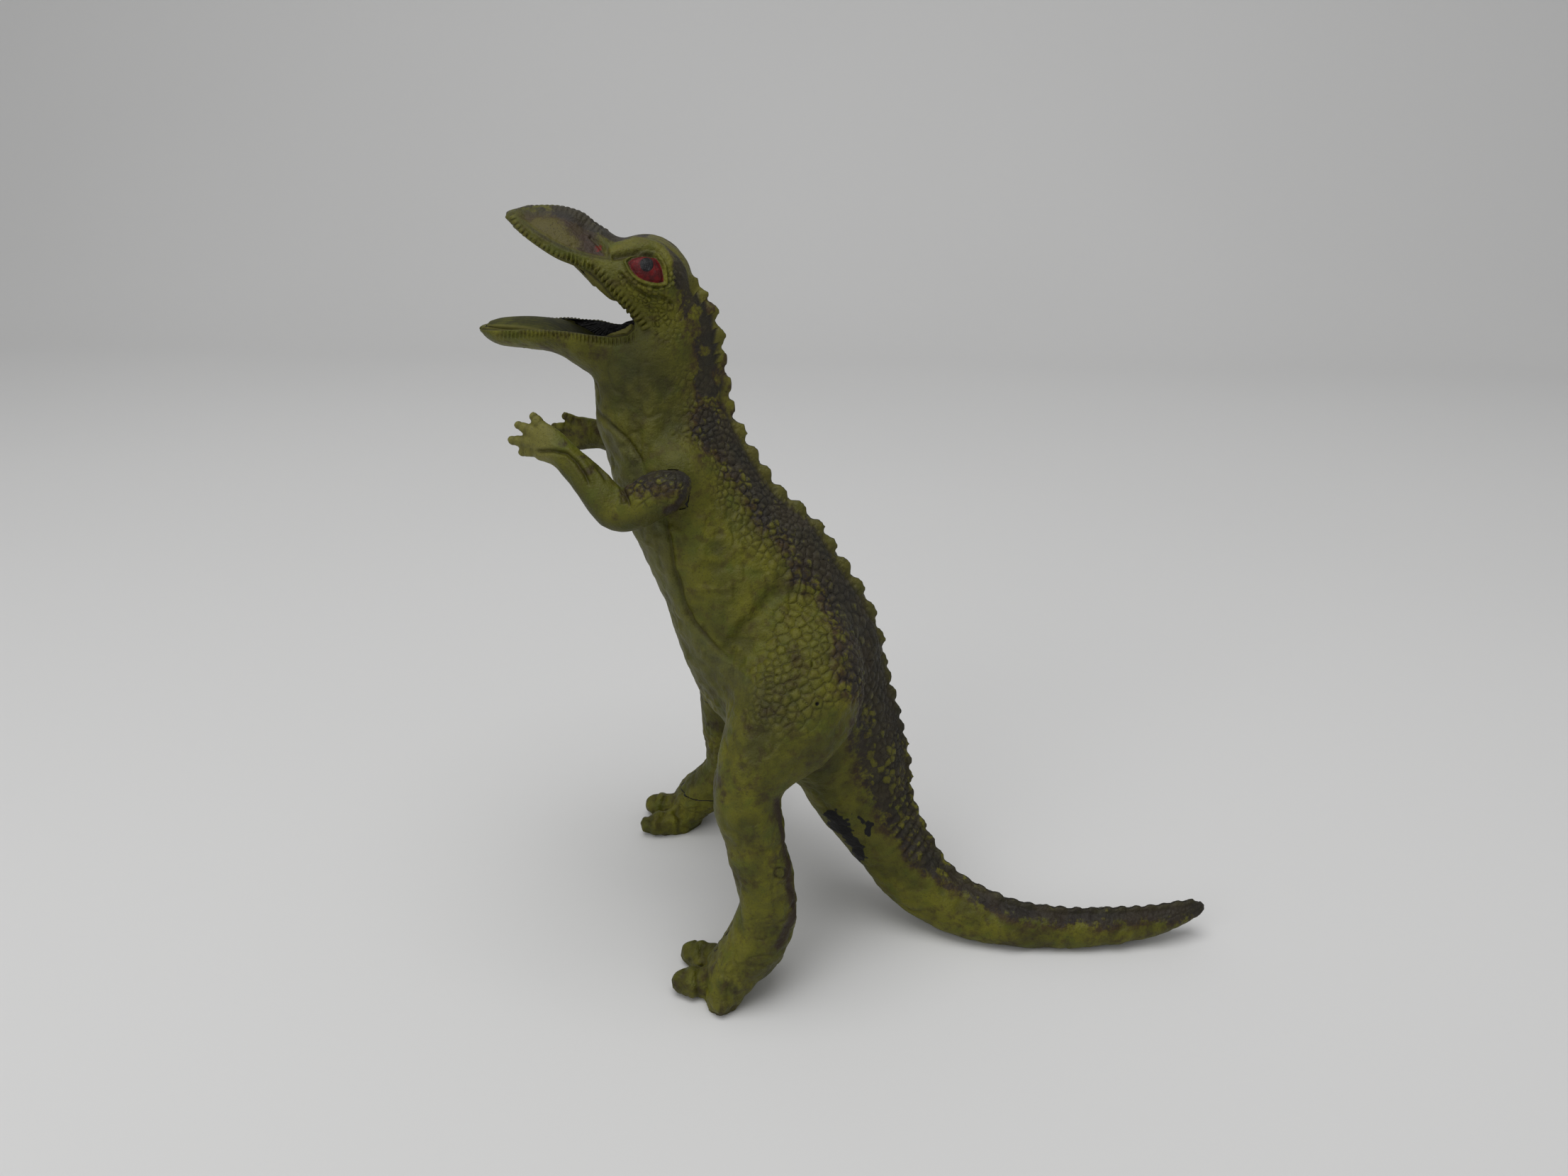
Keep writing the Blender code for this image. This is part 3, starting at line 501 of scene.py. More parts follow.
class Seen:
    """Where the photo shows points of the unbent skin, or their mirror image on the left side, and how
    squarely it looks at them."""

    def __init__(self, points, normals):
        x, y, z = points.T
        self.out = np.abs(y)
        right = y > 0
        step = np.interp(z, LEG_LINE[:, 0], LEG_LINE[:, 1]) * STRIDE * smoothstep(8, 20, self.out)
        self.x, self.z = x + step * right, z
        place = np.stack((self.x, sway(x) - self.out, z), axis=1)
        facing = normals * np.stack((np.ones(len(x)), np.where(right, -1, 1), np.ones(len(x))), axis=1)
        self.u, self.v = to_photo(place)
        self.toward = toward_eye(place, facing)
        self.face = smoothstep(0.0, 0.3, self.toward)
        self.up = normals[:, 2]


# --- making meshes ---


def smooth_rows(rows, steps):
    """A Catmull-Rom curve through rows of numbers, with the given number of steps between rows."""
    rows = np.array(rows, float)
    ends = np.vstack((2 * rows[0] - rows[1], rows, 2 * rows[-1] - rows[-2]))
    found = []
    for before, start, end, after in zip(ends, ends[1:], ends[2:], ends[3:]):
        for t in np.arange(steps) / steps:
            found.append(
                0.5
                * (
                    2 * start
                    + (end - before) * t
                    + (2 * before - 5 * start + 4 * end - after) * t**2
                    + (3 * start - before - 3 * end + after) * t**3
                )
            )
    found.append(rows[-1])
    return np.array(found)


def frames(centres):
    """The ways along, across and up at each point of a line in the midplane."""
    along = np.gradient(centres, axis=0)
    along /= np.linalg.norm(along, axis=1)[:, None]
    across = np.array([0.0, 1.0, 0.0]) - along[:, 1:2] * along
    across /= np.linalg.norm(across, axis=1)[:, None]
    return along, across, np.cross(along, across)


def turned_about_y(points, angle):
    c, s = math.cos(angle), math.sin(angle)
    return points @ np.array(((c, 0, s), (0, 1, 0), (-s, 0, c))).T


class Pile:
    """Points and faces of several closed forms together."""

    def __init__(self):
        self.points, self.faces, self.count = [], [], 0

    def add(self, points, faces):
        self.points.append(points)
        self.faces += [tuple(place + self.count for place in face) for face in faces]
        self.count += len(points)

    def loft(self, rows, keel=0.0, roof=1.0):
        """A closed loft. A row is x, y, z, half depth above, half depth below, half width."""
        rows = smooth_rows(rows, STEPS)
        centres = rows[:, :3]
        _, across, up = frames(centres)
        turn = np.arange(RING_POINTS) * 2 * math.pi / RING_POINTS
        rise, side = np.sin(turn), np.cos(turn)
        above = rise > 0
        lift = np.where(above, np.abs(rise) ** roof, rise)
        spread = np.where(above, np.sign(side) * np.abs(side) ** roof, side) * (1 - keel * rise)
        depth = np.where(above, np.maximum(rows[:, 3:4], 0), np.maximum(rows[:, 4:5], 0))
        width = np.maximum(rows[:, 5:6], 0)
        points = (
            centres[:, None]
            + (lift * depth)[:, :, None] * up[:, None]
            + (spread * width)[:, :, None] * across[:, None]
        )
        self.tube(points)

    def tube(self, rings):
        """Rings of points joined into a tube and closed at both ends."""
        number, around = rings.shape[:2]
        faces = []
        for ring in range(number - 1):
            low = ring * around
            for place in range(around):
                after = (place + 1) % around
                faces.append((low + place, low + after, low + around + after, low + around + place))
        last = number * around
        for pole, low in ((last, 0), (last + 1, (number - 1) * around)):
            faces += [(low + place, low + (place + 1) % around, pole) for place in range(around)]
        ends = np.stack((rings[0].mean(axis=0), rings[-1].mean(axis=0)))
        self.add(np.vstack((rings.reshape(-1, 3), ends)), faces)

    def ball(self, centre, radii, turn=0.0):
        """An ellipsoid, turned about Y."""
        rise = np.linspace(-np.pi / 2, np.pi / 2, BALL_RINGS + 2)[1:-1]
        around = np.arange(BALL_POINTS) * 2 * np.pi / BALL_POINTS
        ring = np.stack((np.cos(around), np.sin(around), np.zeros(BALL_POINTS)), axis=1)
        points = np.cos(rise)[:, None, None] * ring[None] + np.sin(rise)[:, None, None] * np.array((0, 0, 1))
        self.tube(turned_about_y(points * np.array(radii), turn) + np.array(centre))

    def solid(self, name):
        return solid(name, np.vstack(self.points).tolist(), self.faces)


def object_of(mesh, name):
    made = bpy.data.objects.new(name, mesh)
    bpy.context.scene.collection.objects.link(made)
    return made


def settle(thing):
    """Applies the modifiers by taking the evaluated mesh."""
    graph = bpy.context.evaluated_depsgraph_get()
    graph.update()
    done = bpy.data.meshes.new_from_object(thing.evaluated_get(graph))
    thing.modifiers.clear()
    old, thing.data = thing.data, done
    bpy.data.meshes.remove(old)
    return thing


def turned_out(thing):
    """Makes all faces look outward."""
    work = bmesh.new()
    work.from_mesh(thing.data)
    bmesh.ops.recalc_face_normals(work, faces=work.faces)
    work.to_mesh(thing.data)
    work.free()
    return thing


def solid(name, points, faces):
    """An object of points and faces, all of which look outward."""
    made = bpy.data.meshes.new(name)
    made.from_pydata(points, [], faces)
    return turned_out(object_of(made, name))


def remesh(thing, cell):
    """Fuses forms that run into each other into one skin."""
    change = thing.modifiers.new("fuse", "REMESH")
    change.mode = "VOXEL"
    change.voxel_size = cell
    return settle(thing)


def finer(thing):
    """Cuts each face into four and evens them out."""
    change = thing.modifiers.new("finer", "SUBSURF")
    change.levels = change.render_levels = 1
    return settle(thing)


def near_head(points):
    return (points[:, 2] > 172) & (points[:, 0] < -40)


def finer_head(thing):
    """Cuts each face of the head into four."""
    chosen = near_head(points_of(thing))
    work = bmesh.new()
    work.from_mesh(thing.data)
    edges = [edge for edge in work.edges if chosen[edge.verts[0].index] and chosen[edge.verts[1].index]]
    bmesh.ops.subdivide_edges(work, edges=edges, cuts=1, use_grid_fill=True)
    work.to_mesh(thing.data)
    work.free()
    eased(thing, near_head(points_of(thing)).astype(float), 2)
    return thing


def points_of(thing):
    found = np.empty(len(thing.data.vertices) * 3, np.float32)
    thing.data.vertices.foreach_get("co", found)
    return found.reshape(-1, 3).astype(float)


def normals_of(thing):
    found = np.empty(len(thing.data.vertices) * 3, np.float32)
    thing.data.vertex_normals.foreach_get("vector", found)
    return found.reshape(-1, 3).astype(float)


def move_points(thing, points):
    thing.data.vertices.foreach_set("co", points.astype(np.float32).ravel())
    thing.data.update()


def eased(thing, weight, rounds):
    """Evens the mesh out where the weight is, by moving each point towards its neighbours."""
    points = points_of(thing)
    edges = np.empty(len(thing.data.edges) * 2, np.int32)
    thing.data.edges.foreach_get("vertices", edges)
    a, b = edges.reshape(-1, 2).T
    number = len(points)
    near = np.maximum(np.bincount(a, minlength=number) + np.bincount(b, minlength=number), 1)
    share = 0.5 * weight / near
    for _ in range(rounds):
        for axis in range(3):
            line = points[:, axis]
            total = np.bincount(a, line[b], number) + np.bincount(b, line[a], number)
            points[:, axis] = line + share * (total - near * line)
    move_points(thing, points)


def boolean(thing, cutter, operation):
    """Cuts or joins a thing with a cutter, which is used up."""
    change = thing.modifiers.new(operation.lower(), "BOOLEAN")
    change.operation = operation
    change.solver = "MANIFOLD"
    change.object = cutter
    settle(thing)
    bpy.data.objects.remove(cutter, do_unlink=True)
    return thing


def block(low, high, lean=0.0):
    """A box between two corners, whose sides lean by so much along Y for each unit up."""
    spots = [[(high if (corner >> axis) & 1 else low)[axis] for axis in range(3)] for corner in range(8)]
    spots = np.array(spots, float)
    spots[:, 1] += lean * spots[:, 2]
    faces = [(0, 2, 3, 1), (4, 5, 7, 6), (0, 1, 5, 4), (2, 6, 7, 3), (0, 4, 6, 2), (1, 3, 7, 5)]
    return solid("block", spots.tolist(), faces)


def rod(centre, radius, inner, outer, side, segments=72):
    """A cylinder along Y between two distances from the midplane, on one side of it."""
    turn = np.arange(segments) * 2 * np.pi / segments
    x, z = centre[0] + radius * np.cos(turn), centre[1] + radius * np.sin(turn)
    pile = Pile()
    pile.tube(np.array([np.stack((x, np.full(segments, side * far), z), axis=1) for far in (inner, outer)]))
    return pile.solid("rod")


def copy_of(thing, name):
    made = thing.copy()
    made.data = thing.data.copy()
    made.name = name
    bpy.context.scene.collection.objects.link(made)
    return made


# --- the skin's forms ---


def spine_rows():
    """The loft from the neck to the tip of the tail. All rows of lofts are as Pile.loft takes them."""
    rows = []
    for along, up, depth, width in TRUNK_shares:
        half = depth * TRUNK_DEPTH / 2
        rows.append((along * LENGTH, 0, up * HEIGHT, half, half, width * TRUNK_WIDTH / 2))
    for along, under, thick in TAIL_shares:
        half = thick * TRUNK_DEPTH / 2
        height = max(under * HEIGHT, -FLOOR_PRESS) + half
        rows.append((along * LENGTH, 0, height, half, half, half))
    return rows


def head_rows(shares, depth, width):
    """The loft of the skull, the bill or the lower jaw."""
    return [
        (along * LENGTH, 0, up * HEIGHT, above * depth, below * depth, across * width / 2)
        for along, up, above, below, across in shares
    ]


def leg_rows(side):
    step = STRIDE if side > 0 else 0
    rows = []
    for along, up, out, depth, width, share in LEG_shares:
        half = depth * SHIN_DEPTH / 2
        place = (along * LENGTH - share * step, side * out * STANCE, up * HEIGHT)
        rows.append((*place, half, half, width * SHIN_WIDTH / 2))
    return rows


def toe_rows(side):
    """The lofts of the three toes of a foot, each from its tip back to the ball."""
    ball_x = FOOT_PLACE_share * LENGTH - (STRIDE if side > 0 else 0)
    ball_y = side * FOOT_SIDE_share * STANCE
    toes = []
    for start, end, out, out_end, width in TOE_shares:
        rows = []
        for share, size in TOE_PROFILE_shares:
            half = size * width * TOE_WIDTH / 2
            thick = size * FOOT_DEPTH / 2
            reach = (start + (end - start) * share) * TOE_REACH
            off = (out + (out_end - out) * share) * TOE_WIDTH
            low = thick - FLOOR_PRESS if share < TOE_FLAT_share else FOOT_DEPTH * TOE_LIFT_share
            rows.append((ball_x - reach, ball_y + side * off, low, thick, thick, half))
        toes.append(rows[::-1])
    return toes


def back_line():
    """The line along the top of the neck, back and tail, and the way up from it."""
    rows = smooth_rows(spine_rows(), STEPS)
    _, _, up = frames(rows[:, :3])
    return rows[:, :3] + up * rows[:, 3:4], up


def crest(pile):
    """Rounded plates down the neck and back, where the photo shows them, then low ridges along the tail."""
    line, up = back_line()
    # Places and ways up at even steps, and where the photo shows them
    gone = np.concatenate(([0], np.cumsum(np.linalg.norm(np.diff(line, axis=0), axis=1))))
    fine = np.linspace(0, gone[-1], 1500)
    spots, ways = (
        np.stack([np.interp(fine, gone, part[:, axis]) for axis in range(3)], axis=1) for part in (line, up)
    )
    u, v = to_photo(spots + (0, 1, 0) * sway(spots[:, :1]))
    places = [fine[np.argmin(np.hypot(u - a, v - b))] for a, b in CREST_px]
    plates = len(places)
    while places[-1] < fine[-1] - 6:
        step = np.interp(places[-1], (fine[-1] - TAIL_RIDGES_REACH, fine[-1]), TAIL_RIDGE_STEPS)
        places.append(places[-1] + step)
    lengths = np.gradient(places)
    for number, (place, length) in enumerate(zip(places, lengths)):
        share = np.interp(number, (plates - 5, plates, len(places)), (1, 0.6, 0.42))
        rise = share * CREST_RISE * PLATE_RISE_share
        at, way = (
            np.array([np.interp(place, fine, part[:, axis]) for axis in range(3)]) for part in (spots, ways)
        )
        if number < plates:
            # Up or down to where the photo shows the plate's top
            ray = from_photo(*CREST_px[number])
            tip = EYE + ray * (sway(at[:1])[0] - EYE[1]) / ray[1]
            at = at + np.clip((tip - at) @ way - rise - 0.1, -1.0, 1.0) * way
        tilt = math.atan2(way[0], way[2])
        pile.ball(at, (length * PLATE_HALF_share, CREST_THICKNESS / 2 * (0.6 + 0.4 * share), rise), tilt)


def shoulder():
    """The place of the shoulders' axis along X and Z."""
    return SHOULDER_PLACE_share * LENGTH, SHOULDER_HEIGHT_share * HEIGHT


def skin():
    """The whole skin in one closed mesh, before its details."""
    pile = Pile()
    pile.loft(spine_rows(), keel=TRUNK_KEEL_share)
    pile.loft(head_rows(SKULL_shares, SKULL_DEPTH, SKULL_WIDTH), keel=SKULL_KEEL_share)
    pile.loft(head_rows(BILL_shares, BILL_DEPTH, BILL_WIDTH), roof=BILL_HOLLOW_share)
    pile.loft(head_rows(JAW_shares, JAW_DEPTH, JAW_WIDTH), keel=JAW_KEEL_share)
    deep, along, outward = BOSS_shares
    for side in (-1, 1):
        pile.loft(leg_rows(side))
        for rows in toe_rows(side):
            pile.loft(rows)
        boss = (shoulder()[0], side * (SHOULDER_SPAN / 2 - SEAT_RADIUS * deep), shoulder()[1])
        pile.ball(boss, (SEAT_RADIUS * along, SEAT_RADIUS * outward, SEAT_RADIUS * along))
    crest(pile)
    thing = remesh(pile.solid("skin"), SKIN_CELL)
    x, y, z = points_of(thing).T
    out = np.abs(y)
    # The crest, the edges of the bill and jaw, the toes and the tip of the tail keep their form.
    ridge = (1 - smoothstep(1.8, 3.5, out)) * smoothstep(-62, -46, x + (HEIGHT - z) * 0.1)
    thin = np.maximum.reduce(
        (1 - smoothstep(-92, -74, x), 1 - smoothstep(10, 16, z), smoothstep(60, 100, x), 1.1 * ridge)
    )
    eased(thing, 1 - 0.85 * thin, EVEN_ROUNDS)
    # The hips, throat, shoulders, crotch and heels run over into what is beside them.
    hip = zone((60, 78, z), (132, 112, z), (6, 13, out), (40, 20, x))
    throat = zone((160, 168, z), (200, 190, z), (-78, -70, x), (2, 5, out))
    boss = bell(np.hypot(x - shoulder()[0], z - shoulder()[1]), 16) * smoothstep(6, 12, out)
    crotch = zone((40, 55, z), (85, 70, z), (-50, -35, x), (10, -5, x))
    behind = x - LENGTH * FOOT_PLACE_share + STRIDE * (y > 0)
    heel = zone((15, 10, z), (-5, 0, behind), (12, 6, behind))
    eased(thing, np.maximum.reduce((hip, throat, boss, 0.35 * crotch, 0.6 * heel)), BLEND_ROUNDS)
    return finer_head(finer(thing))


# --- the skin's details ---

CELL_FLOOR = 0.02  # below this weight a surface has no cells
CELL_PACKING = 0.87  # a cell's area over the square of its width
FACE_SLANT = 1.1  # area of a mesh's face over the square of its cell, because faces lie aslant
FAR = 9.0  # stands for a distance too far to matter, in millimetres or in photo pixels


class Cells:
    """Cells spread over a surface, each about as large as the surface asks for there."""

    def __init__(self, points, weight, size, area, seed, rounds=3):
        self.points, self.chosen = points, np.flatnonzero(weight > CELL_FLOOR)
        spots, spacing = points[self.chosen], size[self.chosen]
        rng = np.random.default_rng(seed)
        area = area[self.chosen]
        chance = area / spacing**2.0
        count = int((chance / CELL_PACKING).sum())
        centres = spots[rng.choice(len(spots), count, replace=False, p=chance / chance.sum())]
        pull = area * spacing**-4.0
        for _ in range(rounds):
            nearest = self.find(centres, spots, 1)[0][:, 0]
            total = np.bincount(nearest, pull, count)
            kept = total > 0
            for axis in range(3):
                sums = np.bincount(nearest, spots[:, axis] * pull, count)
                centres[kept, axis] = sums[kept] / total[kept]
        self.centres, self.luck = centres, rng.random(count)

    @staticmethod
    def find(centres, spots, number):
        """Which centres are nearest to each spot, as many as asked for, and how far off they are."""
        tree = KDTree(len(centres))
        for place, centre in enumerate(centres):
            tree.insert(centre, place)
        tree.balance()
        found = [tree.find_n(spot, number) for spot in spots]
        which = np.array([[one[1] for one in row] for row in found], int).reshape(-1, number)
        gaps = np.array([[one[2] for one in row] for row in found], float).reshape(-1, number)
        return which, gaps

    def edges(self, reach=None):
        """Distance to the cell's edge, or to a circle round its middle with the given radius at each
        point, and the cell's own random number."""
        number, chosen = len(self.points), self.chosen
        edge, luck = np.full(number, FAR), np.zeros(number)
        which, gaps = self.find(self.centres, self.points[chosen], 2)
        apart = np.linalg.norm(self.centres[which[:, 0]] - self.centres[which[:, 1]], axis=1)
        edge[chosen] = (gaps[:, 1] ** 2 - gaps[:, 0] ** 2) / (2 * np.maximum(apart, 1e-6))
        limit = FAR if reach is None else reach[chosen]
        edge[chosen] = np.maximum(np.minimum(edge[chosen], limit - gaps[:, 0]), 0)
        luck[chosen] = self.luck[which[:, 0]]
        return edge, luck


def scale_size(seen):
    """How wide the scales are at each point."""
    gone = np.hypot(seen.u - BIGGEST_SCALE_px[0], seen.v - BIGGEST_SCALE_px[1])
    size = np.interp(gone, (0, 60, 140, 250, 400, 700), (4.5, 4.1, 3.3, 3.0, 2.8, 2.3))
    return size * np.interp(seen.out, (2, 8), (0.8, 1))


def rings(value, spacing, sharp=1.0):
    """Ridges from 0 to 1, so far apart along a value."""
    return (0.5 + 0.5 * np.cos(2 * np.pi * value / spacing)) ** sharp


def nearest_way(points, ways, axes=3):
    """How far along the nearest of some straight ways each point lies, and its distance off it, which
    with two axes is taken as seen from above."""
    best, share = np.full(len(points), 99.0), np.zeros(len(points))
    for start, end in ways:
        way = end - start
        t = ((points - start) @ way) / (way @ way)
        gap = np.linalg.norm((points - start - np.clip(t, 0, 1)[:, None] * way)[:, :axes], axis=1)
        near = gap < best
        best, share = np.where(near, gap, best), np.where(near, t, share)
    return share, best


def toe_place(points, side):
    """How far along its toe each point lies, from the ball at 0 to the tip at 1, and its distance off it."""
    ways = [(np.array(rows[-1][:3]), np.array(rows[0][:3])) for rows in toe_rows(side)]
    return nearest_way(points, ways, axes=2)


class Relief(Seen):
    """What is done to the skin: how far each point moves out, how deep in a groove it lies, painted as shade,
    and how much painted highlight it has, where the dark spray wears off too. The functions below add to it."""

    def __init__(self, points, normals):
        super().__init__(points, normals)
        self.points, self.normals = points, normals
        self.area = np.where(near_head(points), (SKIN_CELL / 4) ** 2, (SKIN_CELL / 2) ** 2) * FACE_SLANT
        self.lift, self.groove, self.light = np.zeros((3, len(points)))
        # Noise of three sizes
        self.n2, self.n4, self.n9 = noise(points, 2.2), noise(points, 4.5, 11), noise(points, 10, 23)

    def noise(self, size, shift):
        return noise(self.points, size, shift)

    # A groove is painted darker as shade, and gives the shader a bump.
    def cut(self, depth):
        self.groove = np.maximum(self.groove, depth)

    # Painted highlight on bumps, beads and scale tops, where the dark spray wears off too.
    def highlight_and_rub(self, share):
        self.light = np.maximum(self.light, share)


def skin_relief(r):
    """Wrinkles, scales and bumps of the neck and trunk. Gives how scaly each point is and its scale's
    random number."""
    n2, n4, n9 = r.n2, r.n4, r.n9
    u, v, face = r.u, r.v, r.face
    rough = 1 - 0.65 * smoothstep(170, 178, r.z)
    crease = bell(noise(r.points * (1, 1, 0.6), 4.2, 51), 0.16) * smoothstep(-0.3, 0.4, r.noise(9, 57))
    r.lift += rough * (0.30 * n9 + 0.32 * n4 + 0.20 * n2 - 0.26 * crease)
    pit = n4 + 0.8 * n2
    # Painted shade in the creases and pits, and painted highlight on the bumps.
    r.cut(rough * np.maximum(0.40 * crease, 0.42 * smoothstep(-0.15, -0.75, pit)))
    r.highlight_and_rub(0.42 * rough * smoothstep(0.15, 0.75, pit))
    # Scales
    side = path(SCALED_px, u, v)[1]
    early = np.interp(v, (430, 560, 760, 830, 900, 1000), (-10, -48, -30, -12, -22, -36))
    scaled = smoothstep(early, 22, side + 10 * n4)
    band = np.maximum(smoothstep(60, 110, v - 330), smoothstep(930, 945, u))
    scaled *= band * (0.2 + 0.8 * smoothstep(500, 600, v))
    faint = patch(u, v, FAINT_SCALES_px, 75, 95) * smoothstep(-0.5, 0.2, n4 + 0.5 * n9) * face
    scaled = np.maximum(scaled, 0.42 * faint)
    size = scale_size(r)
    edge, luck = Cells(r.points, scaled, size, r.area, 5).edges(0.56 * size)
    dome = np.clip(edge / (0.34 * size), 0, 1)
    plump = np.sqrt(dome) * (0.75 + 0.5 * luck)
    r.lift += scaled * (0.13 + 0.13 * size) * (plump - 0.5)
    # Painted shade in the grooves between the scales, and painted highlight on their tops.
    r.cut(scaled * (0.66 + 0.2 * smoothstep(880, 720, v)) * bell(edge, 0.26))
    r.highlight_and_rub(scaled * smoothstep(0.35, 0.9, dome) * (0.25 + 0.75 * luck))
    # Sparse bumps on the flank
    flank = (1 - scaled) * zone((560, 620, v), (1080, 1000, v)) * face
    pimple = smoothstep(0.40, 0.8, r.noise(2.6, 31))
    r.lift += flank * (0.5 * pimple + 0.16 * n4 + 0.12 * n2)
    # Painted highlight on the pimples.
    r.highlight_and_rub(0.5 * flank * pimple)
    # Lumps above the arm, and one ring
    r.lift += 0.30 * patch(u, v, LUMPS_px, 48, 26) * face * r.noise(3.4, 41)
    gap = np.hypot(u - SHOULDER_MARK_px[0], v - SHOULDER_MARK_px[1])
    r.lift += face * (0.2 * bell(gap - 5.5, 2.4) - 0.12 * bell(gap - 10, 2.4))
    r.cut(0.3 * face * bell(gap - 9.5, 2.0))
    return scaled, luck


def belly_relief(r):
    """The edge of the belly. Gives how much of the belly's paler paint each point has."""
    u, v, face = r.u, r.v, r.face
    gap, side, _ = path(THROAT_px + BELLY_px[1:], u, v)
    front = zone((3, -3, side), (560, 600, v), (960, 935, v))
    ending = zone((480, 560, v), (945, 905, v))
    r.lift += 0.45 * front * bell(side + 7, 10) - 0.6 * bell(gap, 3.2) * face * ending
    r.cut(0.85 * bell(gap, 2.8) * face * ending)
    belly = zone((2, -6, side), (520, 640, v), (1000, 940, v))
    return belly * smoothstep(40, 75, r.z)


def thigh_relief(r):
    """Creases of the thigh, the vent and a round scar. Gives the distance within the vent's edge."""
    u, v, face = r.u, r.v, r.face
    for line, depth in zip(THIGH_CREASES_px, THIGH_CREASE_DEPTHS):
        gap, _, along = path(line, u, v)
        fade = fading(line, along, 14)
        r.lift += face * (0.4 * depth * bell(gap - 14, 8) - depth * bell(gap, 8)) * (0.3 + 0.7 * fade)
        r.cut(0.30 * bell(gap, 6) * face * fade * smoothstep(-0.5, 0.3, r.n4 + r.n2))
    gap = np.hypot(u - VENT_px[0], v - VENT_px[1])
    vent = np.where(face > 0.02, VENT_RADIUS_px - gap, -FAR)
    r.lift += face * (0.22 * bell(gap - 6, 3.5) - 0.8 * bell(gap, 2.8))
    gap = np.abs(np.hypot(u - SCAR_px[0], (v - SCAR_px[1]) * 1.1) - SCAR_RADIUS_px)
    r.lift += face * 0.25 * (bell(gap - 3, 2) - bell(gap, 2))
    r.cut(0.7 * face * bell(gap, 2.2))
    return vent


def leg_relief(r):
    """Rings and wrinkles of the shins, folds of the ankles, knobs of the feet and joints of the toes."""
    n2, n4, n9 = r.n2, r.n4, r.n9
    x, z, out = r.x, r.z, r.out
    leg = zone((62, 50, z), (14, 22, out))
    wave = z + 1.1 * n4 + 0.05 * (x - 30)
    broken = smoothstep(-0.4, 0.5, r.noise(5.5, 61))
    r.lift += leg * smoothstep(8, 14, z) * broken * (0.07 * rings(wave, 2.7, 0.8) - 0.03)
    line = bell(noise(r.points * (0.5, 0.5, 1.5), 2.6, 77), 0.14) * smoothstep(-0.4, 0.3, r.noise(6, 79))
    r.lift += leg * (0.10 * n2 + 0.14 * r.noise(3.3, 83) - 0.24 * line)
    r.cut(0.42 * leg * line)
    fold = zone((30, 24, z), (10, 15, z)) * leg * broken
    r.lift += 0.12 * fold * (rings(wave + n9, 4.4, 0.7) - 0.5)
    r.cut(fold * 0.25 * (1 - rings(wave + n9, 4.4, 0.5)))
    knotty = zone((20, 10, z), (18, 24, out))
    r.lift += 0.34 * knotty * r.noise(2.1, 71)
    r.cut(0.5 * knotty * bell(r.noise(2.6, 81), 0.12) * smoothstep(-0.2, 0.3, n4))
    for foot in (-1, 1):
        share, off = toe_place(r.points, foot)
        mine = (np.sign(r.points[:, 1]) == foot) * zone((13, 9, z), (7.5, 5.5, off), (0.12, 0.25, share))
        bent = share + 0.05 * n2 + 0.05 * n4
        for at, deep, wide in TOE_JOINTS:
            cut = mine * bell(bent - at, wide) * (0.45 + 0.55 * smoothstep(-0.3, 0.3, r.noise(3.1, 91)))
            r.lift -= 1.5 * deep * cut * smoothstep(-0.4, 0.2, r.up)
            r.cut(0.8 * cut)
            r.lift += 0.22 * mine * bell(bent - at - 0.10, 0.08)
        nail_side = smoothstep(0.2, 0.8, np.abs(r.normals[:, 1]))
        r.lift -= mine * 0.35 * smoothstep(0.8, 0.86, share) * nail_side


def under_relief(r):
    """Ribs under the root of the tail, and flash along the middle of the belly, throat and tail."""
    x, z, out = r.x, r.z, r.out
    under = zone((60, 48, z), (20, 30, z), (13, 9, out), (-22, -10, x))
    ribbed = rings(0.7 * x - 0.7 * z + r.n4, 2.8)
    low_side = under * smoothstep(0.2, -0.3, r.normals[:, 2] - r.normals[:, 0])
    r.lift += 0.5 * low_side * (ribbed - 0.5)
    r.cut(0.7 * low_side * (1 - ribbed))
    seam = bell(out, 0.5) * zone((0.1, -0.4, r.normals[:, 2]), (1.5, 3, z))
    r.lift += 0.34 * seam * (0.5 + 0.7 * rings(x - z, 2.6))


def bill_relief(r, head):
    """The hollow of the bill, the beads of its rim and the nostril. Gives the hollow and the distance
    within the red of the nostril."""
    u, v = r.u, r.v
    dish = inside(DISH_px, u, v)
    bowl = head * smoothstep(0, 9, dish)
    r.lift -= 0.95 * bowl
    r.lift += 0.3 * head * bell(dish + 2.5, 3.2)
    r.cut(0.9 * head * bell(dish, 3.2) * smoothstep(300, 325, v - 0.25 * (u - 740)))
    rim_beads = beads(RIM_px, u, v, 7.6, 5.0, 0.7)
    r.lift += 0.5 * head * rim_beads
    r.cut(0.6 * head * bell(path(RIM_px, u, v)[0], 5.5) * (1 - smoothstep(0.1, 0.5, rim_beads)))
    upper_beads = beads(RIM_TOP_px, u, v, 7.5, 3.6, 0.8)
    r.lift += 0.3 * head * upper_beads
    # Painted highlight on the upper beads.
    r.highlight_and_rub(head * upper_beads)
    bowl_light = smoothstep(-15, 12, inside(DISH_LIGHT_px, u, v) + 5 * r.n4 + 4 * r.n2)
    r.light = np.where(bowl > 0.3, bowl_light, r.light)
    gap = path(NOSTRIL_px, u, v)[0]
    r.lift += head * (0.25 * bell(gap - 5, 2.5) - 0.35 * bell(gap, 2.2))
    nostril = head * (NOSTRIL_RADIUS_px - np.hypot(u - NOSTRIL_RED_px[0], v - NOSTRIL_RED_px[1]))
    r.cut(0.35 * head * bell(gap, 1.6))
    return bowl, nostril, rim_beads


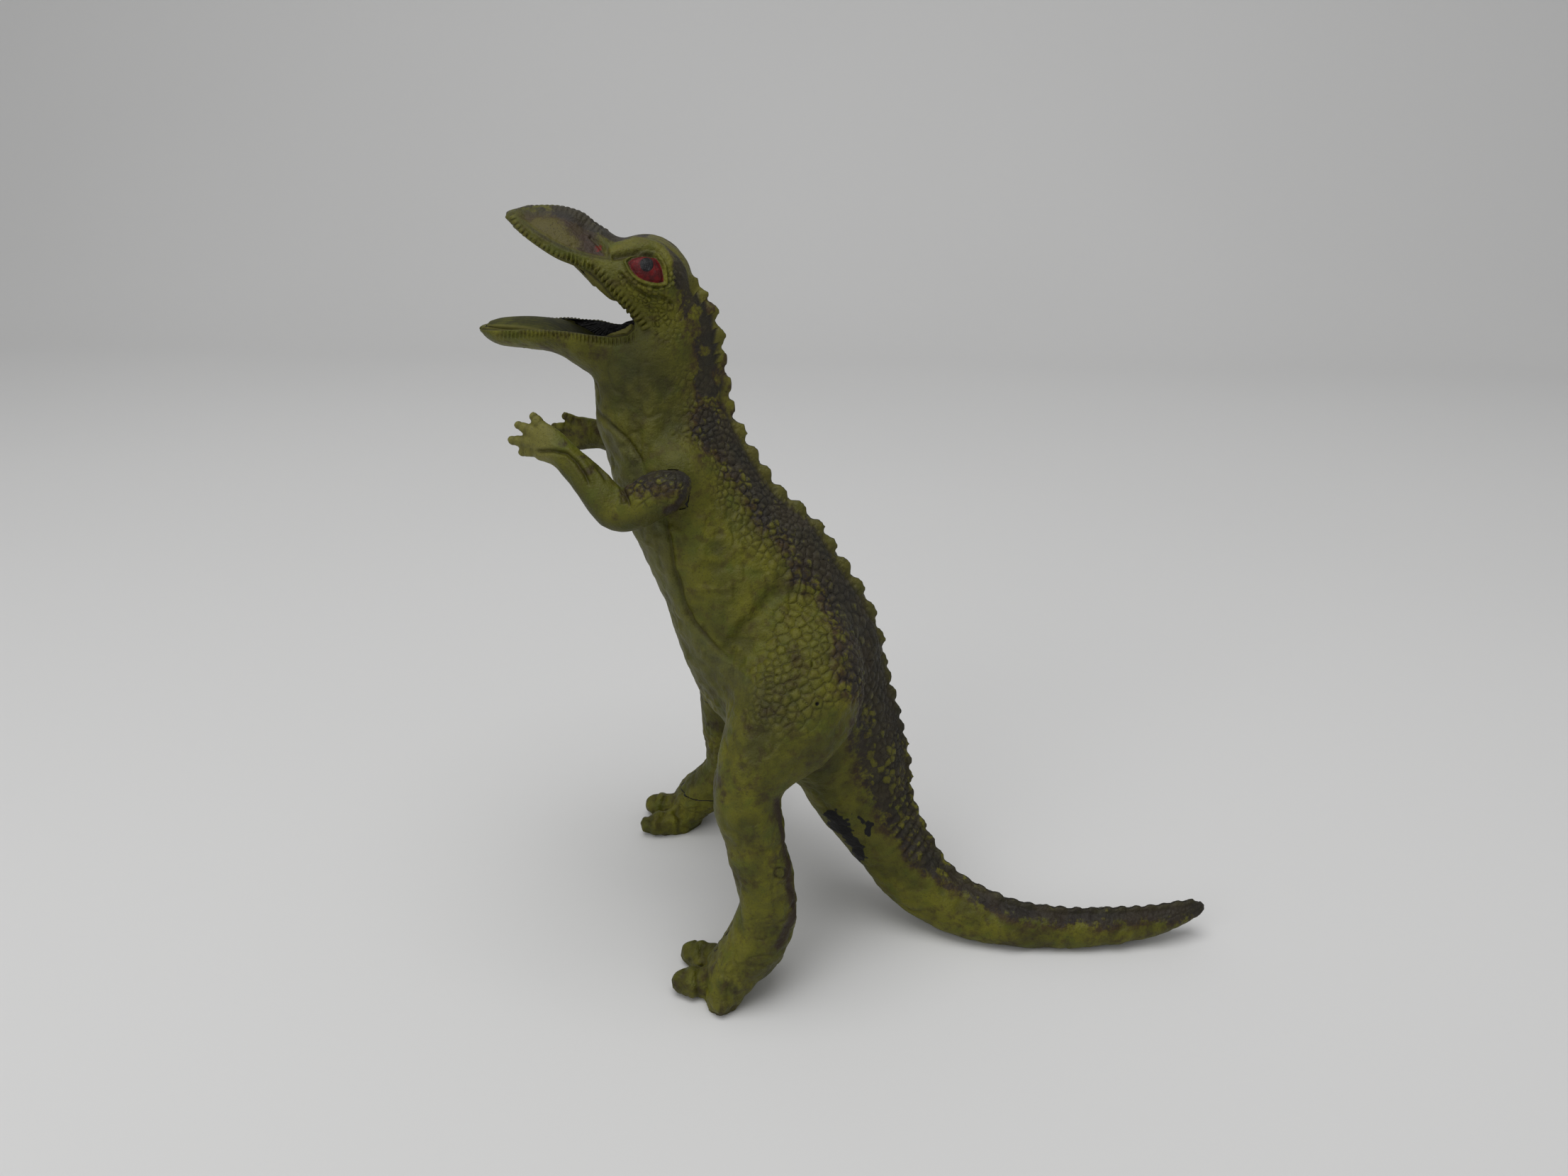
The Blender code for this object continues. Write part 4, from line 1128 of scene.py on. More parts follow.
def eye_relief(r, head):
    """The brow and the eye with its lids. Gives the brow and the distances within the eye and pupil."""
    u, v = r.u, r.v
    gap, _, along = path(BROW_px, u, v)
    round_top = zone((*HEAD_FROM, r.z), (-0.35, -0.05, r.toward))
    r.lift += round_top * bell(gap, 7.5) * (0.5 + 0.5 * smoothstep(0, 20, along))
    # Painted highlight along the brow.
    r.highlight_and_rub(0.7 * round_top * bell(gap, 6))
    brow = round_top * bell(gap, 7)
    gap = path(BROW_CREASE_px, u, v)[0]
    r.lift -= head * 0.9 * bell(gap, 4.0)
    # Painted shade in the crease under the brow.
    crease = head * bell(gap, 4.6)
    r.cut(crease)
    r.light = r.light * (1 - crease)
    eye = inside(EYE_px, u, v)
    r.lift += head * (0.55 * smoothstep(0, 16, eye) - 0.35 * bell(eye - 1, 2.2))
    below = smoothstep(372, 388, v)
    r.lift += head * (0.42 * bell(eye + 3.2, 2.2) + 0.3 * bell(eye + 10.5, 3.0) * below)
    r.lift -= head * (0.25 * bell(eye + 6.4, 1.6))
    r.cut(head * (0.35 + 0.4 * below) * bell(eye + 6.4, 1.5))
    r.cut(0.8 * head * bell(eye + 0.4, 1.0) * (1 - below))
    pupil = PUPIL_RADIUS_px - np.hypot(u - PUPIL_px[0], (v - PUPIL_px[1]) * 0.94)
    return brow, eye, pupil


def cheek_relief(r, head, eye, rim_beads):
    """The beads along the cheek, its crease and its small scales."""
    u, v = r.u, r.v
    cheek_beads = beads(CHEEK_px, u, v, 8.2, 6.4, 0.7)
    r.lift += head * 0.85 * cheek_beads
    r.cut(0.75 * head * bell(path(CHEEK_px, u, v)[0], 7) * (1 - smoothstep(0.1, 0.5, cheek_beads)))
    # Painted highlight on the beads of the cheek and rim.
    r.highlight_and_rub(head * smoothstep(0.4, 0.9, np.maximum(cheek_beads, rim_beads)))
    gap = path(CHEEK_CREASE_px, u, v)[0]
    r.lift += head * (0.25 * bell(gap - 6, 4) - 0.4 * bell(gap, 2.8))
    r.cut(0.7 * head * bell(gap, 2.6))
    cheek = head * zone((372, 392, v), (500, 460, v), (6, 14, path(CHEEK_px, u, v)[1]))
    cheek *= zone((972, 950, u), (-3, -7, eye))
    small = np.full(len(u), CHEEK_SCALE)
    edge, own = Cells(r.points, cheek, small, r.area, 13).edges()
    bump = np.clip(edge / 0.6, 0, 1)
    r.lift += 0.42 * cheek * (np.sqrt(bump) * (0.4 + 1.2 * own) - 0.5)
    r.cut(0.5 * cheek * bell(edge, 0.25) * smoothstep(0.2, 0.6, own))
    # Painted highlight on the tops of the small scales.
    r.highlight_and_rub(0.7 * cheek * smoothstep(0.5, 0.9, bump) * own)


def jaw_relief(r, head):
    """The seam round the mouth and the ribs under the jaw. Gives the pale rim of the mouth."""
    u, v = r.u, r.v
    gap, side, _ = path(JAW_SEAM_px, u, v)
    r.lift -= 0.45 * head * smoothstep(1.6, 0.8, np.abs(gap) / 3) * bell(gap, 1.9)
    r.cut(0.95 * head * bell(gap, 1.9))
    under_jaw = head * zone((-2, -5, side), (-17, -11, side), (690, 720, u), (905, 890, u))
    r.lift += 0.42 * under_jaw * (rings(u, 5.6) - 0.5)
    r.cut(0.5 * under_jaw * (1 - rings(u, 5.6)))
    return head * zone((0.5, 2.0, side), (12, 8, gap))


def crest_relief(r):
    """Keeps the crest and the arms' seats plain, with painted shade in a groove along the foot of the crest.
    Gives where the crest's plates are painted."""
    x, z, out = r.x, r.z, r.out
    line, up = back_line()
    near = np.flatnonzero((out < 4) & (z > 8) & (x > -62))
    found, _ = Cells.find(line, r.points[near], 1)
    rise = np.full(len(out), -FAR)
    rise[near] = ((r.points[near] - line[found[:, 0]]) * up[found[:, 0]]).sum(axis=1)
    ridge = zone((3.4, 2.4, out), (0.0, 0.9, rise))
    r.cut(0.9 * smoothstep(4, 2.5, out) * bell(rise + 0.3, 0.7))
    keep = 1 - 0.85 * smoothstep(3.0, 1.6, out) * ridge
    from_seat = np.hypot(x - shoulder()[0], z - shoulder()[1])
    calm = smoothstep(SEAT_RADIUS + 5, SEAT_RADIUS + 1.5, from_seat)
    keep *= 1 - 0.85 * calm * smoothstep(8, 12, out)
    r.lift *= keep
    r.groove = r.groove * keep
    return zone((4.0, 2.9, out), (-0.7, 0.2, rise))


def dark_paint(r, brow):
    """How much of the sprayed dark paint each point has."""
    u, v, x, z, out = r.u, r.v, r.x, r.z, r.out
    # How far the paint's edge is spread out, in photo pixels
    spread = np.minimum(
        np.interp(u + 0.6 * (v - 300), (860, 960, 1040), (4, 9, 36)), np.interp(u, (1230, 1330), (36, 20))
    )
    spread = np.minimum(spread, np.interp(v, (360, 420, 560, 640), (4, 17, 22, 36)))
    dark = smoothstep(-spread, spread, path(DARK_px, u, v)[1] + 0.30 * spread * (r.n4 + 1.2 * r.n9))
    skull_top = zone((199, 203, z), (5.5, 3.5, out), (-84, -79, x))
    dark = np.maximum(dark * smoothstep(-88, -82, x + 0.2 * r.n2), skull_top) * (1 - 0.9 * brow)
    blotch = zone((-0.05, 0.4, r.noise(3.4, 29)), (620, 560, v), (400, 440, v))
    nape = zone((14, 7, path(NAPE_px, u, v)[0] + 3 * r.n4), (185, 190, z))
    dark = np.maximum(dark, 0.9 * nape * (1 - brow))
    return dark * (1 - 0.7 * blotch)


def worn_and_shaded_paint(r):
    """Where the paint is worn and where shade is painted: the distance within the bare rubber, the stains, and the
    painted shade of the neck and thigh with darker green at random.
    """
    u, v, x, z, face = r.u, r.v, r.x, r.z, r.face
    bare = np.full(len(u), -99.0)
    for line, wide in zip(BARE_px, BARE_RADII_px):
        bare = np.maximum(bare, wide - path(line, u, v)[0])
    bare = (bare + 5.5 * r.n2 + 4 * r.noise(1.1, 5)) * (r.points[:, 1] < 2) - 99 * (r.toward < -0.2)
    stain = np.maximum(0.75 * stains(u, v, STAIN_px), 1.25 * bell(path(SHIN_STRIP_px, u, v)[0], 10) * face)
    stain = np.maximum(stain, 0.6 * zone((10, 45, x), (1150, 1220, v)))
    stain = np.maximum(stain, 0.5 * zone((13, 8, z), (20, 28, r.out), (0.1, 0.5, r.n4)))
    # Painted shade on the neck under the head and on the thigh, with darker green at random.
    deep = patch(u, v, SHADED_NECK_px, 72, 66) + 0.8 * patch(u, v, SHADED_THIGH_px, 48, 48)
    return bare, stain, np.clip(deep + 0.35 * smoothstep(0.2, 0.7, r.n9), 0, 1)


def marked(distance, where=True):
    """A distance within a painted edge as a value from 0 to 1, with 0.5 at the edge."""
    return 0.5 + 0.05 * np.clip(np.where(where, distance, -FAR), -FAR, FAR)


def detail(thing):
    """Moves the skin's points out and in for its scales, wrinkles, creases and the head's forms, and
    keeps what the paint needs to know."""
    points, normals = points_of(thing), normals_of(thing)
    r = Relief(points, normals)
    v, x, z, out = r.v, r.x, r.z, r.out
    zeros, ones = np.zeros(len(points)), np.ones(len(points))
    scaled, luck = skin_relief(r)
    belly = belly_relief(r)
    vent = thigh_relief(r)
    leg_relief(r)
    under_relief(r)
    head = smoothstep(*HEAD_FROM, z) * r.face
    bowl, nostril, rim_beads = bill_relief(r, head)
    brow, eye, pupil = eye_relief(r, head)
    cheek_relief(r, head, eye, rim_beads)
    rim = jaw_relief(r, head)
    crest_top = crest_relief(r) * np.interp(v, (520, 680, 900, 1000), (1, 0.8, 0.55, 0.1))
    move_points(thing, points + r.lift[:, None] * normals)

    top = zone((190, 197, z), (-66, -74, x), (0.25, 0.75, r.up), (7, 3, out), (-104, -96, x))
    bare, stain, deep = worn_and_shaded_paint(r)
    on_head = head > 0.02
    keep_paint(
        thing,
        tone=(dark_paint(r, brow), r.groove, r.light, belly),
        mark=(marked(eye, on_head), marked(pupil, on_head), marked(bare), stain),
        trim=(rim, bowl, marked(nostril, on_head), top),
        more=(crest_top, marked(vent), luck * np.minimum(scaled * 1.5, 1), ones),
        extra=(deep, zone((1000, 1060, v), (1270, 1230, v)), zeros, ones),
    )
    return thing


def keep_paint(thing, **groups):
    """Keeps values from 0 to 1 on the mesh's points, four to a group. The last value of the groups more
    and extra is always 1."""
    for name, values in groups.items():
        made = thing.data.attributes.new(name, "FLOAT_COLOR", "POINT")
        made.data.foreach_set("color", np.stack(values, axis=1).astype(np.float32).ravel())


def group_of(thing, name):
    values = np.empty(len(thing.data.vertices) * 4, np.float32)
    thing.data.attributes[name].data.foreach_get("color", values)
    return values.reshape(-1, 4)


def paint_from(thing, source):
    """Takes the paint of a cut mesh's new points from the nearest points of the uncut one. A cut leaves
    0 in its new points, also where the last value is always 1."""
    points, origin = points_of(thing), points_of(source)
    lost = np.flatnonzero(group_of(thing, "more")[:, 3] < 0.999)
    which, gaps = Cells.find(origin, points[lost], 1)
    deep = gaps[:, 0] > DEEP_CUT
    for name in ("more", "tone", "mark", "trim", "extra"):
        values = group_of(thing, name)
        values[lost] = group_of(source, name)[which[:, 0]]
        # Cut surfaces deep in the shell lose the dark spray and the highlight, and are darkened as painted shade
        # of their recess.
        if name == "tone":
            values[lost[deep], :3] = (0, 0.6, 0)
        thing.data.attributes[name].data.foreach_set("color", values.ravel())


# --- the mouth ---

LINER_STEPS = 7  # from station to station
LINER_ACROSS = 30  # faces across the sheet


def liner_rows():
    """The liner's line: x, y, z, arch and half width."""
    return smooth_rows(
        [
            (along * LENGTH, 0, up * HEIGHT, arch * JAW_DEPTH, width * JAW_WIDTH / 2 - LINER_INSET / 2)
            for along, up, arch, width in LINER_shares
        ],
        LINER_STEPS,
    )


def liner_middle(grow):
    """Rings of points across the middle of the liner's sheet, and the way up from it at each."""
    rows = liner_rows()
    for end, beside in ((0, 1), (-1, -2)):
        way = rows[end, :3] - rows[beside, :3]
        rows[end, :3] += grow * way / np.linalg.norm(way)
    share = np.linspace(-1, 1, LINER_ACROSS + 1)
    sheet = np.empty((len(rows), LINER_ACROSS + 1, 3))
    sheet[:, :, 0] = rows[:, 0:1]
    sheet[:, :, 1] = share * (rows[:, 4:5] + grow)
    sheet[:, :, 2] = rows[:, 2:3] + rows[:, 3:4] * (1 - share**2)
    up = np.cross(np.gradient(sheet, axis=0), np.gradient(sheet, axis=1))
    up /= np.linalg.norm(up, axis=2)[:, :, None]
    return sheet, up


def liner_solid(name, grow, lift=0.0):
    """The liner's sheet made solid. lift raises the side that faces the open mouth, which is up from
    the tongue plate and down from the palate."""
    middle, up = liner_middle(grow)
    half = LINER_WALL / 2 + grow
    inner = middle + up * (half + lift * np.ones(up.shape[:2]))[:, :, None]
    outer = middle - up * half
    pile = Pile()
    pile.tube(np.concatenate((inner, outer[:, ::-1]), axis=1))
    return pile.solid(name)


def pocket_cut():
    """The open space that the bent sheet encloses between the palate and the tongue plate."""
    first, last = (row * LINER_STEPS for row in POCKET_ROWS)
    middle, _ = liner_middle(SEAM_GAP)
    middle = middle[first : last + 1]
    number, around = middle.shape[:2]
    points = [tuple(point) for ring in middle for point in ring]
    faces = []
    for ring in range(number - 1):
        for place in range(around - 1):
            low = ring * around + place
            faces.append((low, low + 1, low + around + 1, low + around))
    top = (number - 1) * around
    faces += [(place, place + 1, top + place + 1, top + place) for place in range(around - 1)]
    for end in (0, around - 1):
        edge = [ring * around + end for ring in range(number)]
        points.append(tuple(middle[:, end].mean(axis=0)))
        faces += [(a, b, len(points) - 1) for a, b in zip(edge, edge[1:] + edge[:1])]
    return solid("pocket", points, faces)


def liner():
    """The palate, the throat and the tongue plate with its ridges. at counts the liner's stations."""
    rows = liner_rows()
    number = len(rows)
    at = np.linspace(0, len(LINER_shares) - 1, number)[:, None]
    share = np.linspace(-1, 1, LINER_ACROSS + 1)[None]
    plate = smoothstep(11.2, 12.6, at)
    palate = smoothstep(5.5, 4.5, at)
    side = np.abs(share)
    leaf = plate * smoothstep(0.80, 0.70, side)
    lift = 0.55 * leaf * (1 - 0.5 * side) + 0.16 * leaf * np.cos(share * 26) - 0.25 * leaf * bell(side, 0.05)
    lift = lift + palate * (0.18 * np.cos(at * 9) * smoothstep(0.9, 0.6, side) + 0.2 * bell(side, 0.08))
    lift = lift + 0.25 * smoothstep(0.86, 0.97, side) * (plate + palate)
    thing = liner_solid("mouth_lining", 0.0, lift)
    points = points_of(thing)
    # Which row and how far across each point is, for its paint
    ring = 2 * (LINER_ACROSS + 1)
    order = np.arange(len(points))
    row = np.clip(order // ring, 0, number - 1)
    spot = order % ring
    across = np.where(spot <= LINER_ACROSS, spot, 2 * LINER_ACROSS + 1 - spot) / LINER_ACROSS * 2 - 1
    # The throat, deep in the pocket, is painted black as painted shade.
    depth = bell(at[row, 0] - 8.6, 3.2)
    edge = smoothstep(0.84, 0.95, np.abs(across)) * (1 - depth)
    plate_here = plate[row, 0] * smoothstep(0.8, 0.7, np.abs(across))
    groove = plate_here * (0.5 - 0.5 * np.cos(across * 26)) + bell(np.abs(across) - 0.78, 0.05) * plate[row, 0]
    keep_paint(thing, lining=(np.clip(depth, 0, 1), edge, np.clip(groove, 0, 1), plate_here))
    return finer(thing)


# --- cutting the skin into its pieces ---

SHARP_ANGLE = math.radians(65)
PRESSED_GAP = 0.06  # what still shows of a bonded joint


def half_block(side):
    """All that lies on one side of the seam, which follows the swing of the tail."""
    start = SWAY_shares[0] * LENGTH
    places = np.concatenate(([-LENGTH], np.arange(start - 2, LENGTH / 2 + 8, 2.0), [LENGTH]))
    low, high, far = -SPARE, HEIGHT + SPARE, side * LENGTH
    walls = []
    for place in places:
        near = sway(np.array([min(place, LENGTH / 2)]))[0] + side * PRESSED_GAP / 2
        walls.append([(place, near, low), (place, far, low), (place, far, high), (place, near, high)])
    pile = Pile()
    pile.tube(np.array(walls, float))
    return pile.solid("half")


def cover_block(side, gap):
    """The block that the inner side of a leg lies in, smaller by a gap."""
    step = STRIDE if side > 0 else 0
    bottom, top = (share * HEIGHT for share in COVER_shares)
    low_out, high_out = (np.interp(z, LEG_LINE[:, 0], LEG_LINE[:, 2]) for z in (bottom, top))
    lean = side * (high_out - low_out) / (top - bottom)
    foot = side * low_out - lean * bottom
    near, far = foot - side * gap, foot - side * SHIN_WIDTH * COVER_DEPTH_share
    back = LEG_shares[5][0] * LENGTH + SHIN_DEPTH
    low = (back - 3 * SHIN_DEPTH - step, min(near, far), bottom + gap)
    high = (back, max(near, far), top - gap)
    return block(low, high, lean)


def shoulder_cuts(side):
    """The seat, the bore and the room for the flange in the shell."""
    seat = SHOULDER_SPAN / 2
    yield rod(shoulder(), SEAT_RADIUS + TURN_CLEARANCE, seat, seat + SPARE, side)
    yield rod(shoulder(), STUD_RADIUS + TURN_CLEARANCE, seat - POCKET_REACH, seat + SPARE, side)
    yield rod(shoulder(), FLANGE_RADIUS + 2 * TURN_CLEARANCE, seat - POCKET_REACH, seat - SEAT_WALL, side)


def finished(thing, name, material, body, slot, *nodes):
    """Brings a piece to metres, smooth and on its body."""
    points = points_of(thing)
    points[:, 2] = np.maximum(points[:, 2], 0)
    move_points(thing, points * MM)
    thing.name = name
    thing.data.materials.clear()
    thing.data.materials.append(material)
    thing.data.shade_smooth()
    thing.data.set_sharp_from_angle(angle=SHARP_ANGLE)
    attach(thing, body)
    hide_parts(*nodes)
    return thing


def figure(paint, mouth_paint):
    """The body's pieces, all bonded together."""
    body = detail(skin())
    points = points_of(body)
    points[:, 1] += sway(points[:, 0])
    move_points(body, points)
    whole = copy_of(body, "whole")
    boolean(body, liner_solid("slot", SEAM_GAP), "DIFFERENCE")
    boolean(body, pocket_cut(), "DIFFERENCE")
    for side, word in ((-1, "left"), (1, "right")):
        half = boolean(copy_of(body, f"skin_{word}"), half_block(side), "INTERSECT")
        cover = boolean(copy_of(half, f"shin_{word}"), cover_block(side, PRESSED_GAP), "INTERSECT")
        boolean(half, cover_block(side, 0.0), "DIFFERENCE")
        for cutter in shoulder_cuts(side):
            boolean(half, cutter, "DIFFERENCE")
        for piece in (half, cover):
            paint_from(piece, whole)
        finished(half, f"skin_{word}", paint, "figure", "skin", f"body_shell_{word}")
        finished(cover, f"inner_shin_{word}", paint, "figure", "skin", f"leg_inner_{word}")
    for used in (body, whole):
        bpy.data.objects.remove(used, do_unlink=True)
    finished(liner(), "mouth_lining", mouth_paint, "figure", "liner", "mouth_liner")


# --- arms ---

ARM_GROOVES_px = (
    ((751.8, 636.8), (780.4, 636.5), (800, 640), (814.3, 653), (825, 669), (833, 688)),
    ((872, 677), (879, 690), (885, 704), (890, 718)),
    ((838, 655), (850, 668), (858, 682)),
)
ARM_CREASE_px = ((940, 652), (956, 660), (966, 676), (966, 694), (955, 714), (940, 722))
ARM_STAINS_px = (
    (884, 700, 18), (888, 684, 15), (915, 664, 22), (945, 662, 22), (800, 625, 14), (818, 645, 15), (836, 664, 16),
    (930, 690, 24),
)
FINGER_TAPER_shares = ((-0.3, 1.1), (0.05, 1.25), (0.4, 1.03), (0.75, 0.9), (0.93, 0.7), (1.0, 0.35))
PALM_BACK_share = 0.016  # of ARM_REACH, how much further back the palm ends, so that the fingers part
ARM_MIDDLE = SHOULDER_SPAN / 2 + TURN_CLEARANCE + ARM_THICKNESS / 2  # from the midplane


def arm_place(side, along, up, outward):
    """A place on the arm in shares of ARM_REACH from the shoulder's axis."""
    return np.array((along * ARM_REACH, side * (ARM_MIDDLE + outward * ARM_REACH), up * ARM_REACH))


def finger_place(points, side):
    """How far along its finger each point lies and its distance off it."""
    return nearest_way(points, [[arm_place(side, *spot) for spot in ends] for *ends, _ in FINGER_shares])


def arm_form(side, name):
    """The arm's form before its details, as it hangs from an axis through 0."""
    pile = Pile()
    rows = [
        (*arm_place(side, *spot), depth * ARM_THICKNESS / 2, depth * ARM_THICKNESS / 2, width * ARM_THICKNESS / 2)
        for *spot, depth, width in ARM_shares
    ]
    rows[-1] = (rows[-1][0] + PALM_BACK_share * ARM_REACH, *rows[-1][1:])
    pile.loft(rows)
    for *ends, thick in FINGER_shares:
        first, last = (arm_place(side, *spot) for spot in ends)
        rows = []
        for share, size in FINGER_TAPER_shares:
            half = size * thick * ARM_THICKNESS / 2
            rows.append((*(first + (last - first) * share), half, half, half))
        pile.loft(rows)
    limb = remesh(pile.solid(name), ARM_CELL)
    hand = smoothstep(-0.70, -0.80, points_of(limb)[:, 0] / ARM_REACH)
    eased(limb, 1 - 0.75 * hand, 10)
    return finer(limb)


def arm_detail(limb, side):
    """Moves the arm's points for its scales, creases and fingers, and keeps what the paint needs to know.
    The photo shows the left arm, and the right one is its mirror image."""
    points, normals = points_of(limb), normals_of(limb)
    along, body_way = points[:, 0] / ARM_REACH, normals[:, 1] * side
    zeros, ones = np.zeros(len(points)), np.ones(len(points))
    left = points * (1, -side, 1) + np.array((shoulder()[0], 0, shoulder()[1]))
    u, v = to_photo(left)
    face = smoothstep(0.0, 0.3, toward_eye(left, normals * (1, -side, 1)))
    n1, n2, n5 = noise(points, 1.3), noise(points, 2.4, 9), noise(points, 5, 17)
    lift = 0.12 * n5 + 0.12 * n2 + 0.05 * n1
    upper = zone((868, 884, u + 6 * n5), (728, 706, v + 8 * n5))
    size = np.interp(u, (830, 880, 930), (2.3, 2.9, 3.5))
    area = np.full(len(points), (ARM_CELL / 2) ** 2 * FACE_SLANT)
    edge, luck = Cells(points, upper, size, area, 9).edges(0.58 * size)
    dome = np.clip(edge / (0.42 * size), 0, 1)
    lift += upper * 0.30 * (np.sqrt(dome) * (0.75 + 0.5 * luck) - 0.45)
    groove = 0.8 * upper * bell(edge, 0.28) * (0.45 + 0.55 * smoothstep(-0.4, 0.3, n2))
    light = upper * smoothstep(0.4, 0.95, dome) * luck * smoothstep(672, 700, v)
    for line in ARM_GROOVES_px:
        gap, _, gone = path(line, u, v)
        fade = fading(line, gone, 12)
        lift += face * fade * (0.25 * bell(gap - 6, 4) - 0.6 * bell(gap, 2.8))
        groove = np.maximum(groove, 0.8 * face * fade * bell(gap, 2.8))
    gap = path(ARM_CREASE_px, u, v)[0]
    groove = np.maximum(groove, 0.8 * face * bell(gap, 5))
    share, off = finger_place(points, side)
    finger = zone((3.2, 2.2, off), (0.15, 0.3, share))
    for at, deep in FINGER_JOINTS:
        lift -= finger * deep * bell(share - at, 0.05)
        groove = np.maximum(groove, 0.35 * finger * bell(share - at, 0.06))
    wrist = zone((-0.5, -0.6, along), (-0.8, -0.74, along))
    lift += 0.05 * wrist * (rings(points[:, 0] + points[:, 2] + n2, 2.1) - 0.5)
    # The side towards the body stands back past the seat, to clear the belly at the lower limit.
    past_seat = smoothstep(SEAT_RADIUS - 0.5, SEAT_RADIUS + 1.5, np.hypot(points[:, 0], points[:, 2]))
    lift -= 0.5 * smoothstep(-0.2, -0.8, body_way) * past_seat
    move_points(limb, points + lift[:, None] * normals)
    dark = zone((872, 892, u + 8 * n5), (714, 664, v + 8 * n5 + 8 * n2))
    dark = 0.85 * np.maximum(dark, 0.6 * bell(path(ARM_CREASE_px, u, v)[0], 6) * face)
    stain = stains(u, v, ARM_STAINS_px) * smoothstep(-0.5, 0.3, n2)
    # The side that faces the body is painted brown, as the stains are, the more the more squarely it faces the
    # body.
    inner = smoothstep(0.2, -0.6, body_way) * 0.6
    # The outward side of the hand is painted lighter, as painted highlight.
    palm = zone((-0.66, -0.82, along), (-0.3, 0.3, body_way))
    off_mark = marked(zeros - FAR)
    # The first value of extra is painted shade on the underside of the arm.
    keep_paint(
        limb,
        tone=(dark, groove, np.maximum(0.1 * light, palm), 1.2 * palm),
        mark=(off_mark, off_mark, off_mark, np.maximum(stain, inner)),
        trim=(zeros, zeros, off_mark, zeros),
        more=(zeros, off_mark, 0.2 * luck * upper, ones),
        extra=(0.7 * smoothstep(0.3, -0.6, normals[:, 2]), zeros, palm, ones),
    )


def arm(side, word, paint):
    """An arm with its flat, its stud and its flange, in its place at the shoulder."""
    limb = arm_form(side, f"arm_{word}")
    arm_detail(limb, side)
    whole = copy_of(limb, "whole_arm")
    seat = SHOULDER_SPAN / 2 + TURN_CLEARANCE
    near, far = sorted((side * seat, -side * SPARE))
    flat = block((-ARM_FLAT_share * ARM_REACH, near, -LENGTH), (LENGTH, far, LENGTH))
    boolean(limb, flat, "DIFFERENCE")
    flange = SHOULDER_SPAN / 2 - SEAT_WALL - TURN_CLEARANCE
    boolean(limb, rod((0, 0), STUD_RADIUS, flange - FLANGE_THICKNESS / 2, seat + STUD_RADIUS, side), "UNION")
    boolean(limb, rod((0, 0), FLANGE_RADIUS, flange - FLANGE_THICKNESS, flange, side), "UNION")
    paint_from(limb, whole)
    bpy.data.objects.remove(whole, do_unlink=True)
    points = points_of(limb)
    if side > 0:
        points = turned_about_y(points, -RIGHT_ARM_DROP)
    move_points(limb, points + np.array((shoulder()[0], 0, shoulder()[1])))
    finished(limb, f"limb_{word}", paint, f"{word}_arm", "arms", f"arm_{word}")


# --- materials ---


def linear(red, green, blue):
    """A colour picked from 0 to 255 on the screen, as the shader takes it."""
    return tuple(
        (part / 255 / 12.92 if part <= 10.3 else ((part / 255 + 0.055) / 1.055) ** 2.4)
        for part in (red, green, blue)
    )


# Paints, named for what they are on the toy. The shaded green, the groove brown and the throat's black are painted
# shade, and the lit edge, the lit slate, the lit bowl and the hand's paint are painted highlight.
OLIVE, OLIVE_LIT = linear(76, 76, 13), linear(98, 96, 16)
GREENISH, BROWNISH = linear(74, 81, 16), linear(66, 55, 17)
SHADED, BELLY, HAND_HIGHLIGHT = linear(43, 43, 12), linear(84, 84, 44), linear(112, 108, 48)
SCALE_LIT, EDGE_LIT, PLATE, RIM = linear(100, 96, 30), linear(100, 96, 32), linear(98, 93, 36), linear(94, 89, 34)
WORN, GROOVE_SHADE, SPECK, FRINGE = linear(46, 33, 17), linear(36, 28, 15), linear(36, 30, 16), linear(58, 44, 19)
BOWL, BOWL_LIT = linear(56, 43, 33), linear(80, 73, 30)
SLATE, SLATE_WARM, SLATE_LIT = linear(31, 27, 26), linear(42, 35, 28), linear(64, 59, 50)
RED, RED_DARK, NOSTRIL_RED = linear(98, 7, 9), linear(66, 6, 8), linear(104, 22, 16)
PUPIL, VENT_HOLE, BARE_RUBBER = linear(11, 11, 14), linear(10, 8, 6), linear(9, 8, 8)
MOUTH, MOUTH_DARK, MOUTH_GROOVE = linear(78, 79, 18), linear(58, 59, 15), linear(34, 32, 12)
MOUTH_EDGE, THROAT_SHADE = linear(92, 88, 38), linear(10, 10, 6)
BACKDROP = (0.70, 0.70, 0.697)
SPECULAR = 0.26


class Value:
    """A number that the shader works out at each spot, for plain arithmetic."""

    def __init__(self, finish, socket):
        self.finish, self.socket = finish, socket

    def __add__(self, other):
        return self.finish.math("ADD", self, other)

    def __sub__(self, other):
        return self.finish.math("SUBTRACT", self, other)

    def __rsub__(self, other):
        return self.finish.math("SUBTRACT", other, self)

    def __mul__(self, other):
        return self.finish.math("MULTIPLY", self, other)

    def most(self, other):
        return self.finish.math("MAXIMUM", self, other)


